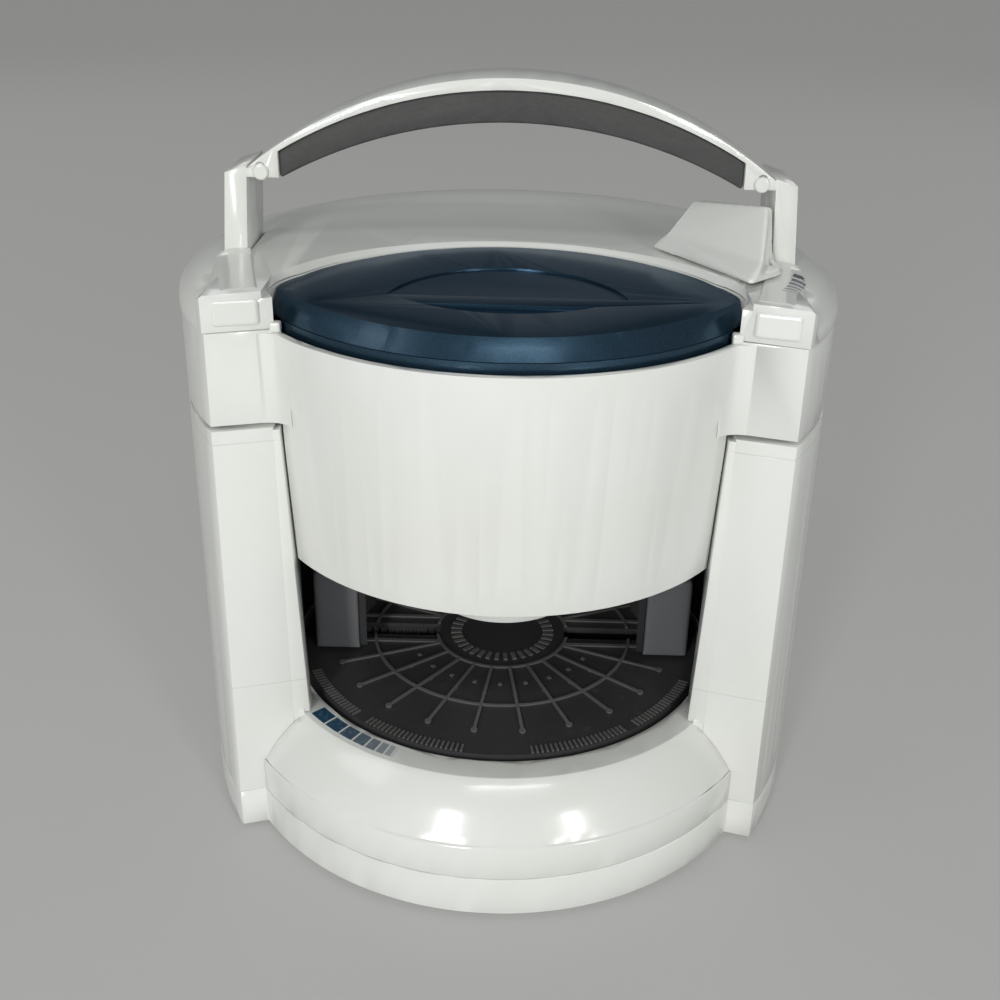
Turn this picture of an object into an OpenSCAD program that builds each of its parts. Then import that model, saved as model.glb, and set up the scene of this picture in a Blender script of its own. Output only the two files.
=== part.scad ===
// Countertop electric jar opener: a base with a turning platter and two sliding
// lower jaws, and a head that lifts on two legs and carries the upper jaws.
// Origin: platter axis at the table. X to the right, Y to the back, Z up.

/* [Body] */
// Outer radius of the tower at the foot
tower_foot_r = 119.3; // [100:0.5:140]
// Outer radius of the tower and of the head at the top
tower_top_r = 117; // [100:0.5:140]
// Distance from the platter axis to the flat back
back_y = 110; // [90:1:130]
// Half the clear width between the two pillars
bay_half = 75; // [60:0.5:90]
// How far in front of the platter axis the pillars' inner front edges are
pillar_front = 60; // [40:1:80]
// Half the clear width between the pillars' inner front edges, at the ring
jamb_low = 71.4; // [60:0.1:90]
// The same at the top of the pillars
jamb_high = 75.2; // [60:0.1:90]
// How much the pillar fronts lean forward per millimetre outward
pillar_slope = 0.29; // [0:0.01:0.6]
// Radius of the round front of the base
drum_r = 110; // [90:1:130]
// Height of the upright band under the drum's slope
band_top = 31.6; // [24:0.1:40]
// How far the drum's slope bulges
slope_bulge = 1.2; // [0:0.1:3]
// Wall thickness of the housings
wall = 2.5; // [1.5:0.1:4]
// Height of the top of the bottom pan
pan_top = 18; // [12:0.5:30]
// Height of the top of the pillars
pillar_top = 168; // [120:1:220]
// Gap left at a parting line
seam = 0.3; // [0.2:0.05:0.6]

/* [Platter] */
// Radius of the platter
platter_r = 82.3; // [60:0.1:100]
// Height of the platter's plain top face
platter_top = 51.2; // [40:0.1:70]
// Thickness of the platter
platter_t = 2.6; // [2:0.1:5]
// Height of the raised ribs on the platter
rib_h = 0.8; // [0.4:0.1:2]
// Radius of the well the platter turns in
well_r = 84.6; // [70:0.1:100]
// Radius of the bay wall behind the platter
bay_r = 86; // [80:0.5:100]

/* [Jaws] */
// Half the distance between the jaw faces when open
jaw_open = 57; // [40:0.5:70]
// How far each jaw slides in
jaw_travel = 35; // [20:1:45]
// Thickness of a jaw along its slide
jaw_t = 19; // [10:0.5:30]
// Half the width of a jaw
jaw_half_w = 17.5; // [10:0.5:25]
// Height of the top of the lower jaws
lower_jaw_top = 88; // [60:1:110]
// Height of the tips of the upper jaws
upper_jaw_tip = 92; // [70:1:110]
// Gear module of the racks and the gears
gear_m = 1; // [0.8:0.1:2]
// Teeth of each rack pinion
pinion_teeth = 16; // [12:1:30]

/* [Head] */
// Height of the lower edge of the front panel
panel_bottom = 115.5; // [100:0.5:150]
// Height of the upper edge of the front panel
panel_top = 201; // [180:0.5:230]
// Outer radius of the front panel at its lower edge
panel_low_r = 91.5; // [80:0.5:110]
// Outer radius of the front panel at its upper edge
panel_high_r = 96.5; // [80:0.5:110]
// Height of the seam between skirt and cover
cover_seam = 202; // [190:0.5:230]
// Radius of the hollow blend beside the front panel
corner_r = 9.5; // [4:0.5:15]
// How far the head lifts
head_lift = 105; // [60:1:150]
// Front radius of the power pad
pad_r = 92; // [80:0.5:100]
// Travel of the power pad
pad_travel = 2.5; // [1:0.1:5]

/* [Handle] */
// Chamfer on the rim behind the power pad
rim_cut = 2; // [0.5:0.1:4]
// Rounding of the cover's edge along the flat back
back_round = 5; // [2:0.5:8]
// Half the depth of the handle from front to back
handle_half = 14; // [8:0.5:20]
// Height of the top of the arch
arch_top = 274.8; // [240:0.5:300]
// Radius of the arch's upper side
arch_r = 146; // [120:1:200]
// Radius of the grip's upper side
grip_r = 156; // [120:1:220]
// Radius of the grip's lower side
grip_low_r = 165; // [120:1:240]
// Half the length of the soft grip
grip_half = 79; // [60:0.5:90]

/* [Hidden] */
$fn = 96;
big = 400;
draft = (tower_foot_r - tower_top_r) / pillar_top;
liner_t = 2;
pan_low = 2;
floor_top = pan_low + wall;
housing_low = pan_top + seam;
rim_z = platter_top - 0.3;
ring_out_r = 94.8;
jamb_back = front_y(bay_half) + 6.5;
deck_low = 29;
deck_top = 31.5;
spindle_r = 6;
run = 0.06;
pin_r = 2.5;
gear_low = 14;
gear_top = 20;
hub_r = 14;
guide_low = 38.8;
guide_t = 3;
rack_h = 5;
rack_low = guide_low + guide_t + 0.4;
platter_low = platter_top - platter_t;
pinion_r = gear_m * pinion_teeth / 2;
jaw_x = jaw_open + jaw_t / 2;
stem_half = 4;
slot_half = stem_half + 0.4;
slot_in = jaw_x - jaw_travel - stem_half - 1.5;
slot_out = jaw_x + stem_half + 7;
jaw_foot = platter_top + rib_h + 0.3;
rack_back = pinion_r + 6;
rail_in = rack_back + 0.4;
// drive train
drive_teeth = 136;
idler_small = 12;
idler_big = 44;
motor_teeth = 10;
train_angle = 52;
idler_at = gear_m * (drive_teeth + idler_small) / 2;
motor_at = idler_at + gear_m * (idler_big + motor_teeth) / 2;
idler_big_low = 22;
idler_big_h = 5;
// head
carrier_low = 120;
carrier_t = 4;
carrier_top = carrier_low + carrier_t;
upper_rack_low = carrier_top + 0.4;
frame_low = 171;
frame_t = 3.5;
frame_top = frame_low + frame_t;
wheel_teeth = 28;
wheel_low = 130.8;
wheel_h = 4;
clamp_teeth = 10;
clamp_at = gear_m * (wheel_teeth + clamp_teeth) / 2;
clamp_xy = clamp_at * cos(45);
leg_x = 94;
leg_w = 14;
leg_half = 12;
leg_low = 28;
rod_y = 22;
rod_r = 2.5;
plate_low = 74.4;
plate_t = 3;
deck2_low = 188;
deck2_t = 3;
deck2_top = deck2_low + deck2_t;
post_x = 45;
post_y = -45;
pad_back_r = 77.8;
pad_back_y = -66;
lens_x = 76;
panel_in = bay_half - 0.7;
panel_side_top = 160;
pad_edge = lens_x + 0.9;
flange_low = 200;
flange_top = 203.9;
pad_front_top = 210.3;
pad_tilt = 1.1;
lever_gap = 0.8;
deck_front = 214.5;
// cover's outer line from the middle to the rim
deck_line = [[0, 213.5], [40, 213.8], [65, 214.4], [80, 214.7], [90, 214.7], [97, 214.4],
  [104, 213.7], [110, 212.3], [114.5, 209.7], [116.6, 206.3], [117, cover_seam]];
lever_x = 88;
lever_y = -24;
lever_rod_r = 2;
foot_at = [[-73, -60], [73, -60], [-82, 68], [82, 68]];
screw_front = [[-45.5, -78.8], [45.5, -78.8]];
screw_tower = [[-107, 39], [107, 39], [-27, 104.5], [27, 104.5]];
screw_head = [[-70, 68], [70, 68], [-30, 95], [30, 95]];
white = [0.9, 0.9, 0.88];
dark = [0.14, 0.145, 0.15];
steel = [0.7, 0.71, 0.72];

// Pillar front line at a distance x from the middle
function front_y(x) = -pillar_front - (x - bay_half) * pillar_slope;
// Tower radius at a height
function tower_r(z) = tower_foot_r - draft * z;
// Angle between a gear's pitch point and a point at radius r on its flank
function inv_deg(a) = tan(a) * 180 / PI - a;
function flank(r, rb, teeth, play) = 90 / teeth * (1 - play) + inv_deg(20) - (r > rb ? inv_deg(acos(rb / r)) : 0);
function polar(r, a) = [r * cos(a), r * sin(a)];
function tooth(c, rr, rb, rm, rt, n, play) = [
  polar(rr, c - flank(rr, rb, n, play) - 0.15 * 360 / n * 0.2),
  polar(max(rb, rr + 0.05), c - flank(max(rb, rr), rb, n, play)),
  polar(rm, c - flank(rm, rb, n, play)),
  polar(rt, c - flank(rt, rb, n, play)),
  polar(rt, c + flank(rt, rb, n, play)),
  polar(rm, c + flank(rm, rb, n, play)),
  polar(max(rb, rr + 0.05), c + flank(max(rb, rr), rb, n, play)),
  polar(rr, c + flank(rr, rb, n, play) + 0.15 * 360 / n * 0.2)];
function gear_points(n, turn, play) = [for (i = [0 : n - 1])
  for (p = tooth(360 / n * i + turn, gear_m * (n / 2 - 1.2), gear_m * n / 2 * cos(20),
    gear_m * n / 2, gear_m * (n / 2 + 0.9), n, play)) p];

module gear(n, low, high, turn = 0, play = 0.12) {
  translate([0, 0, low])
    linear_extrude(high - low)
      polygon(gear_points(n, turn, play));
}

// Straight rack: teeth point to -Y, pitch line on y = 0, one tooth gap at x = 0
module rack(x0, x1, back, low, high) {
  p = PI * gear_m;
  n0 = ceil(x0 / p);
  n1 = floor(x1 / p) - 1;
  translate([0, 0, low])
    linear_extrude(high - low) {
      translate([x0, 1.2 * gear_m])
        square([x1 - x0, back - 1.2 * gear_m]);
      for (i = [n0 : n1])
        translate([(i + 0.5) * p, 0])
          polygon([[-0.2 * p - 0.45, 1.3 * gear_m], [-0.115 * p, -0.9 * gear_m],
            [0.115 * p, -0.9 * gear_m], [0.2 * p + 0.45, 1.3 * gear_m]]);
    }
}

module ring(r_out, r_in, low, high) {
  translate([0, 0, low])
    difference() {
      cylinder(r = r_out, h = high - low);
      translate([0, 0, -1])
        cylinder(r = r_in, h = high - low + 2);
    }
}

// Plan of tower and head behind the pillar fronts, moved in by d
module behind(d, low, high) {
  e = d * 1.04;
  translate([0, 0, low])
    linear_extrude(high - low)
      polygon([[-140, front_y(140) + e], [0, front_y(0) + e], [140, front_y(140) + e],
        [140, back_y - d], [-140, back_y - d]]);
}

module tower_solid(d, low, high) {
  intersection() {
    translate([0, 0, low])
      cylinder(r1 = tower_r(low) - d, r2 = tower_r(high) - d, h = high - low, $fn = 180);
    behind(d, low - 1, high + 1);
  }
}

// Clear space of the jar bay, grown by d
module bay_space(d, low, high) {
  translate([0, 0, low]) {
    cylinder(r = bay_r + d, h = high - low, $fn = 180);
    translate([-bay_half - d, -130, 0])
      cube([2 * (bay_half + d), 110, high - low]);
  }
}

module left_right() {
  children();
  mirror([1, 0, 0])
    children();
}

module at_points(list) {
  for (p = list)
    translate([p[0], p[1], 0])
      children();
}

// Coil of round wire
module coil(r, wire, low, high, turns) {
  steps = turns * 14;
  sides = 6;
  pts = [for (i = [0 : steps]) for (k = [0 : sides - 1])
    let (a = 360 / 14 * i, b = 360 / sides * k, q = r + wire * cos(b))
      [q * cos(a), q * sin(a), low + wire + (high - low - 2 * wire) * i / steps + wire * sin(b)]];
  skin = [for (i = [0 : steps - 1]) for (k = [0 : sides - 1])
    [i * sides + k, i * sides + (k + 1) % sides, (i + 1) * sides + (k + 1) % sides, (i + 1) * sides + k]];
  polyhedron(pts, concat(skin, [[for (k = [0 : sides - 1]) sides - 1 - k],
    [for (k = [0 : sides - 1]) steps * sides + k]]));
}

module base_pan() {
  color(white)
    difference() {
      union() {
        difference() {
          union() {
            tower_solid(0, pan_low, pan_top);
            translate([0, 0, pan_low])
              cylinder(r = drum_r, h = pan_top - pan_low, $fn = 180);
          }
          tower_solid(wall, floor_top, pan_top + 1);
          translate([0, 0, floor_top])
            cylinder(r = drum_r - wall, h = pan_top, $fn = 180);
        }
        at_points(screw_front)
          translate([0, 0, pan_low])
            cylinder(r = 4.5, h = pan_top - pan_low);
        at_points(screw_tower)
          translate([0, 0, pan_low])
            cylinder(r = 4.5, h = pan_top - pan_low);
        translate([0, 0, pan_low])
          cylinder(r = 11, h = gear_low - 0.3 - pan_low);
        rotate(train_angle)
          translate([idler_at, 0, pan_low])
            cylinder(r = 5, h = 12.7 - pan_low);
      }
      at_points(concat(screw_front, screw_tower)) {
        translate([0, 0, pan_low - 1])
          cylinder(r = 3.3, h = floor_top - pan_low + 1);
        cylinder(r = 1.56, h = pan_top + 1);
      }
      at_points(foot_at)
        translate([0, 0, pan_low - 1])
          cylinder(r = 9.2, h = 2.2);
      translate([0, 0, pan_low + 1])
        cylinder(r = spindle_r, h = 20);
      rotate(train_angle)
        translate([idler_at, 0, pan_low + 1])
          cylinder(r = 2, h = 20);
      translate([0, back_y + 1, 10.5])
        rotate([90, 0, 0])
          cylinder(r = 5, h = wall + 2);
    }
}

module rubber_feet() {
  color([0.08, 0.08, 0.08])
    at_points(foot_at)
      cylinder(r = 9, h = pan_low + 1.2);
}

// Profile of the drum's front shell, ring and slope
module base_housing() {
  low_r = drum_r - 0.9;
  low_z = band_top + 0.9;
  slope = [for (i = [0 : 7]) let (t = i / 7, b = slope_bulge * sin(180 * t))
    [low_r - (low_r - ring_out_r) * t + 0.79 * b, low_z + (rim_z - low_z) * t + 0.61 * b]];
  inner = [for (i = [7 : -1 : 0]) [slope[i][0] - 2.2, slope[i][1] - 2.1]];
  color(white)
    difference() {
      union() {
        intersection() {
          rotate_extrude($fn = 180)
            polygon(concat([[drum_r - wall, housing_low], [drum_r, housing_low],
              [drum_r, band_top], [drum_r - 0.3, band_top + 0.6]], slope,
              [[bay_r + 1.5, rim_z - 0.5], [bay_r + 1.5, rim_z - 2.6]], inner,
              [[drum_r - wall, 27.5]]));
          translate([0, 0, housing_low - 1])
            linear_extrude(60)
              polygon([[-130, front_y(130) - seam], [-bay_half - 0.5, front_y(bay_half) - seam],
                [-bay_half - 0.5, -20], [bay_half + 0.5, -20],
                [bay_half + 0.5, front_y(bay_half) - seam], [130, front_y(130) - seam], [130, -130], [-130, -130]]);
        }
        intersection() {
          difference() {
            translate([0, 0, deck_low])
              cylinder(r = bay_r + 1.8, h = rim_z - 0.5 - deck_low, $fn = 180);
            translate([0, 0, deck_top])
              cylinder(r = well_r, h = 40, $fn = 180);
          }
          union() {
            translate([0, 0, deck_low - 1])
              cylinder(r = bay_r - 0.3, h = 40, $fn = 180);
            translate([-bay_half - 0.5, -130, deck_low - 1])
              cube([2 * bay_half + 1, 110, 40]);
          }
        }
        at_points(screw_front)
          translate([0, 0, housing_low])
            cylinder(r = 4.5, h = 24);
      }
      translate([0, 0, deck_low - 1])
        cylinder(r = hub_r + 0.6, h = 10);
      at_points(screw_front)
        translate([0, 0, housing_low - 1])
          cylinder(r = 1.56, h = 21);
    }
}

// Pillar's inner front edge, seen beside the front panel
module jambs() {
  left_right()
    intersection() {
      translate([0, jamb_back, 0])
        rotate([90, 0, 0])
          linear_extrude(30)
            polygon([[jamb_low, rim_z + 0.4], [79, rim_z + 0.4], [79, pillar_top - 1], [jamb_high, pillar_top - 1]]);
      behind(0, housing_low, pillar_top);
    }
}

module tower_housing() {
  color(white)
    difference() {
      union() {
        difference() {
          tower_solid(0, housing_low, pillar_top);
          tower_solid(wall, housing_low - 1, pillar_top - wall);
          bay_space(liner_t + 0.3, housing_low - 2, pillar_top + 2);
        }
        jambs();
        intersection() {
          at_points(screw_tower)
            translate([0, 0, housing_low])
              cylinder(r = 4.5, h = 20);
          tower_solid(1, housing_low, pillar_top);
        }
      }
      at_points(screw_tower)
        translate([0, 0, housing_low - 1])
          cylinder(r = 1.56, h = 17);
      left_right()
        translate([leg_x - 0.5, -leg_half - 0.5, pillar_top - wall - 1])
          cube([leg_w + 1, 2 * leg_half + 1, wall + 2]);
      translate([lever_x, lever_y, pillar_top - wall - 1])
        cylinder(r = lever_rod_r + 1, h = wall + 2);
    }
}

module bay_liner() {
  color([0.2, 0.2, 0.21])
    intersection() {
      difference() {
        bay_space(liner_t, deck_low, pillar_top - 0.6);
        bay_space(0, deck_low - 1, pillar_top + 1);
      }
      union() {
        translate([-140, -40, deck_low - 1])
          cube([280, 200, 200]);
        translate([-140, jamb_back + seam, rim_z + 0.5])
          cube([280, 60, 200]);
      }
    }
}

module leg_guides() {
  color(dark)
    left_right()
      difference() {
        translate([leg_x - 3, -leg_half - 3, floor_top])
          cube([leg_w + 6, 2 * leg_half + 6, pillar_top - wall - 0.1 - floor_top]);
        translate([leg_x - 0.35, -leg_half - 0.35, floor_top + 3])
          cube([leg_w + 0.7, 2 * leg_half + 0.7, 200]);
      }
}

// Catch rack beside the release rod, in the right pillar
module ratchet_rack() {
  y0 = lever_y - 15;
  color([0.55, 0.56, 0.57]) {
    translate([lever_x - 1.5, y0 - 5, 40])
      cube([5.5, 4, 122]);
    for (i = [0 : 29])
      translate([lever_x - 1.5, y0 - 1.05, 44 + 4 * i])
        rotate([90, 0, 90])
          linear_extrude(5.5)
            polygon([[0, 0], [1.05, 0.4], [1.05, 1.2], [0, 2.8]]);
    translate([lever_x + 1, front_y(lever_x + 1) + wall * 1.04 + seam, 40])
      cube([2, y0 - 5 - front_y(lever_x + 1) - wall * 1.04 - seam, 122]);
  }
}

module spindle() {
  color(steel)
    translate([0, 0, pan_low + 1])
      difference() {
        cylinder(r = spindle_r, h = 36 - pan_low - 1);
        translate([0, 0, 33.2 - pan_low - 1])
          ring(spindle_r + 1, spindle_r - 0.8, 0, 1.4);
      }
}

module spindle_clip() {
  color(steel)
    ring(9.5, spindle_r - 0.8, 33.3, 34.5);
}

module glide_ring() {
  color([0.85, 0.85, 0.82])
    ring(76, 70, deck_top, guide_low - 0.3);
}

module idler_axle() {
  color(steel)
    rotate(train_angle)
      translate([idler_at, 0, pan_low + 1])
        cylinder(r = 2, h = deck_low - 0.3 - pan_low - 1);
}

module drive_motor() {
  color([0.6, 0.61, 0.62])
    rotate(train_angle)
      translate([motor_at, 0, 0])
        difference() {
          union() {
            translate([0, 0, 39])
              cylinder(r = 12, h = 46);
            translate([0, 0, 85])
              cylinder(r = 4, h = 3);
          }
          translate([0, 0, 38])
            cylinder(r = 1.5 + run, h = 12);
        }
}

module motor_bracket() {
  color(dark)
    rotate(train_angle)
      translate([motor_at, 0, 0])
        difference() {
          union() {
            translate([-8, -19, 36])
              cube([18, 38, 3]);
            for (s = [-1, 1])
              translate([3, s * 17 - 2, floor_top])
                cube([5, 4, 36 - floor_top]);
          }
          translate([0, 0, 30])
            cylinder(r = 4, h = 20);
        }
}

module case_screws() {
  color(steel)
    at_points(concat(screw_front, screw_tower)) {
      translate([0, 0, floor_top])
        cylinder(r = 1.5, h = 28);
      translate([0, 0, pan_low + 0.5])
        cylinder(r = 3, h = floor_top - pan_low - 0.5);
    }
}

module power_board() {
  color([0.1, 0.3, 0.16])
    rotate(128)
      translate([99, -22, floor_top]) {
        cube([1.6, 44, 60]);
        translate([1.6, 6, 20])
          cube([7, 14, 24]);
        translate([1.6, 31, 34])
          rotate([0, 90, 0])
            cylinder(r = 6, h = 8);
      }
}

module cord_bush() {
  color([0.07, 0.07, 0.07])
    translate([0, back_y, 10.5])
      rotate([90, 0, 0])
        difference() {
          union() {
            cylinder(r = 4.95, h = wall);
            translate([0, 0, wall])
              cylinder(r = 5.85, h = 1.5);
          }
          translate([0, 0, -1])
            cylinder(r = 2.8, h = 10);
        }
}

module jaw_slots(low, high) {
  left_right()
    translate([slot_in, -slot_half, low])
      cube([slot_out - slot_in, 2 * slot_half, high - low]);
}

module platter() {
  top = platter_top - 0.1;
  color([0.13, 0.135, 0.14])
    difference() {
      union() {
        translate([0, 0, platter_low])
          cylinder(r = platter_r, h = platter_t, $fn = 180);
        ring(platter_r, platter_r - 1.7, platter_low - 6, platter_low + 1, $fn = 180);
        ring(27.8, 26.6, top, platter_top + rib_h);
        ring(53.6, 52.4, top, platter_top + rib_h);
        for (a = [-157.5 : 15 : -22.5])
          rotate(a)
            translate([27, -0.6, top])
              cube([42, 1.2, rib_h + 0.1]);
        for (a = [-157.5 : 15 : -22.5])
          rotate(a)
            translate([69, 0, top])
              cylinder(r = 1.3, h = rib_h + 0.1, $fn = 24);
        for (a = [22.5 : 15 : 157.5])
          rotate(a)
            translate([27, -0.6, top])
              cube([42, 1.2, rib_h + 0.1]);
        left_right()
          for (s = [-1, 1])
            translate([slot_in, s * 9.5 - 0.9, top])
              cube([50, 1.8, rib_h + 0.1]);
      }
      jaw_slots(platter_low - 1, platter_top + 3);
    }
}

module jaw_guide() {
  color(dark)
    difference() {
      union() {
        translate([0, 0, guide_low])
          cylinder(r = 80, h = guide_t, $fn = 180);
        intersection() {
          for (s = [-1, 1])
            translate([-82, s * (rail_in + 1.5) - 1.5, guide_low + 1])
              cube([164, 3, platter_low - guide_low - 1]);
          cylinder_at2(80, guide_low, platter_low + 1);
        }
        at_points([[-40, 40], [40, 40], [-40, -40], [40, -40]])
          cylinder_at(4, guide_low + 1, platter_low);
      }
      cylinder_at(pin_r, guide_low - 1, guide_low + 9);
      at_points([[-40, 40], [40, 40], [-40, -40], [40, -40]])
        cylinder_at(1.56, guide_low - 1, guide_low + 9);
    }
}

module pinion_pin() {
  color(steel)
    cylinder_at(pin_r, guide_low, rack_low + rack_h);
}

module drive_gear() {
  color([0.8, 0.8, 0.76])
    difference() {
      union() {
        gear(drive_teeth, gear_low, gear_top, train_angle);
        cylinder_at(hub_r, gear_low, guide_low);
      }
      translate([0, 0, gear_low - 1])
        cylinder(r = spindle_r + run, h = 40);
      translate([0, 0, 33])
        cylinder(r = 10.2, h = 10);
      ring(62, 20, gear_low + 3, gear_top + 1);
    }
}

module cylinder_at(r, low, high) {
  translate([0, 0, low])
    cylinder(r = r, h = high - low);
}

module platter_screws() {
  color(steel)
    at_points([[-40, 40], [40, 40], [-40, -40], [40, -40]]) {
      cylinder_at(1.5, guide_low - 0.1, guide_low + 8.5);
      cylinder_at(3, guide_low - 1.9, guide_low);
    }
}

// Right-hand jaw. Its rack lies on the -Y side of the pinion.
module jaw(face0, face1, neck0, neck1, low) {
  difference() {
    translate([0, 0, face0])
      linear_extrude(face1 - face0)
        intersection() {
          translate([jaw_open, -jaw_half_w])
            square([jaw_t, 2 * jaw_half_w]);
          translate([jaw_open - 3.5, 0])
            circle(r = 28, $fn = 120);
        }
    translate([jaw_open - 36, 0, face0 - 1])
      cylinder(r = 40, h = face1 - face0 + 2);
  }
  translate([jaw_x - stem_half, -stem_half, neck0])
    cube([2 * stem_half, 2 * stem_half, neck1 - neck0]);
  translate([jaw_x - stem_half, -rack_back, low])
    cube([2 * stem_half, rack_back + stem_half, rack_h]);
  translate([0, -pinion_r, 0])
    mirror([0, 1, 0])
      rack(-4, jaw_x, 6, low, low + rack_h);
}

// Ribbed soft face of a jaw
module jaw_pad(face0, face1) {
  intersection() {
    difference() {
      translate([jaw_open - 36, 0, face0])
        cylinder(r = 40 - 0.02, h = face1 - face0);
      translate([jaw_open - 36, 0, face0 - 1])
        cylinder(r = 37.5, h = face1 - face0 + 2);
      for (i = [-6 : 6])
        translate([jaw_open - 36, 0, face0 - 1])
          rotate(i * 3.6)
            translate([37.5, 0, 0])
              cylinder(r = 0.7, h = face1 - face0 + 2, $fn = 16);
    }
    translate([jaw_open - 8, -jaw_half_w + 1.5, face0])
      cube([20, 2 * jaw_half_w - 3, face1 - face0]);
  }
}

module lower_jaw_right() {
  color([0.36, 0.37, 0.38])
    jaw(jaw_foot, lower_jaw_top, rack_low, jaw_foot + 1, rack_low);
}

module lower_jaw_left() {
  rotate(180)
    lower_jaw_right();
}

module lower_pad_right() {
  color([0.1, 0.1, 0.1])
    jaw_pad(jaw_foot + 1, lower_jaw_top - 1);
}

module lower_pad_left() {
  rotate(180)
    lower_pad_right();
}

module lower_pinion() {
  color([0.8, 0.8, 0.76])
    difference() {
      gear(pinion_teeth, rack_low, rack_low + rack_h, 90);
      cylinder_at(pin_r + run, rack_low - 1, rack_low + 20);
    }
}

module idler_gear() {
  color([0.8, 0.8, 0.76])
    rotate(train_angle)
      translate([idler_at, 0, 0])
        difference() {
          union() {
            gear(idler_small, 13, idler_big_low + 1, 180 + 180 / idler_small);
            gear(idler_big, idler_big_low, idler_big_low + idler_big_h);
          }
          cylinder_at(2 + run, 10, 40);
        }
}

module motor_pinion() {
  color([0.75, 0.68, 0.4])
    rotate(train_angle)
      translate([motor_at, 0, 0]) {
        gear(motor_teeth, idler_big_low, idler_big_low + 6, 180 + 180 / motor_teeth);
        cylinder_at(1.5, idler_big_low + 5, 49);
      }
}

// Half width of the front panel at a height below the corner blocks
function panel_side(z) = jamb_low + (jamb_high - jamb_low) * (max(z, panel_bottom) - rim_z) / (pillar_top - rim_z) - 0.6;

// Front panel between the pillars
module panel_solid(d, low, high) {
  k = (panel_high_r - panel_low_r) / (panel_top - panel_bottom);
  intersection() {
    translate([0, 0, low])
      cylinder(r1 = panel_low_r + k * (low - panel_bottom) - d,
        r2 = panel_low_r + k * (high - panel_bottom) - d, h = high - low, $fn = 180);
    translate([0, front_y(bay_half) + 6, 0])
      rotate([90, 0, 0])
        linear_extrude(60)
          polygon([[-panel_side(low), low - 1], [panel_side(low), low - 1], [panel_side(panel_bottom), panel_bottom],
            [panel_in, panel_side_top], [panel_in, high + 1], [-panel_in, high + 1],
            [-panel_in, panel_side_top], [-panel_side(panel_bottom), panel_bottom]]);
  }
}

module head_skirt() {
  low = pillar_top + 2;
  color(white)
    difference() {
      union() {
        difference() {
          tower_solid(0, low, cover_seam - seam);
          tower_solid(wall, low - 1, cover_seam + 1);
          translate([-panel_in + 1.5, -130, low - 1])
            cube([2 * panel_in - 3, 100, 60]);
        }
        difference() {
          panel_solid(0, panel_bottom, panel_top);
          panel_solid_inner(panel_bottom - 1, panel_top + 1);
        }
        left_right()
          corner_fillet(low, panel_top);
      }
      power_pad_space(196.5, 230);
    }
}

// Hollow blend where the front panel runs into a corner block
module corner_fillet(low, high) {
  x = panel_in;
  y = front_y(panel_in) - 0.4;
  translate([0, 0, low])
    linear_extrude(high - low)
      difference() {
        polygon([[x - 1, y + 1.6], [x - 4.2, y - 4.1], [x + 6.4, y - 1.3], [x + 6.4, y + 1.6]]);
        translate([x + 3.1, y - 10.6])
          circle(r = corner_r, $fn = 120);
      }
}

module panel_solid_inner(low, high) {
  k = (panel_high_r - panel_low_r) / (panel_top - panel_bottom);
  translate([0, 0, low])
    cylinder(r1 = panel_low_r + k * (low - panel_bottom) - wall,
      r2 = panel_low_r + k * (high - panel_bottom) - wall, h = high - low, $fn = 180);
}

// Lens-shaped plan of the power pad, grown by d
module lens(d, low, high) {
  intersection() {
    cylinder_at2(pad_r + d, low, high);
    translate([0, pad_back_y, 0])
      cylinder_at2(pad_back_r + d, low, high);
    translate([-lens_x - d, -130, low])
      cube([2 * (lens_x + d), 260, high - low]);
  }
}

module cylinder_at2(r, low, high) {
  translate([0, 0, low])
    cylinder(r = r, h = high - low, $fn = 180);
}

module power_pad_space(low, high) {
  lens(0.9, low, high);
}

// Boxy front corner of the cover beside the power pad
module corner_block(x0, x1, low, top, round, front, back) {
  translate([0, back, 0])
    rotate([90, 0, 0])
      linear_extrude(back - front)
        polygon([[x0, low], [x1, low], [x1, top - round * 1.3], [x1 - round * 0.3, top - round * 0.55],
          [x1 - round, top - round * 0.08], [x0, top + 0.2]]);
}

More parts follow.
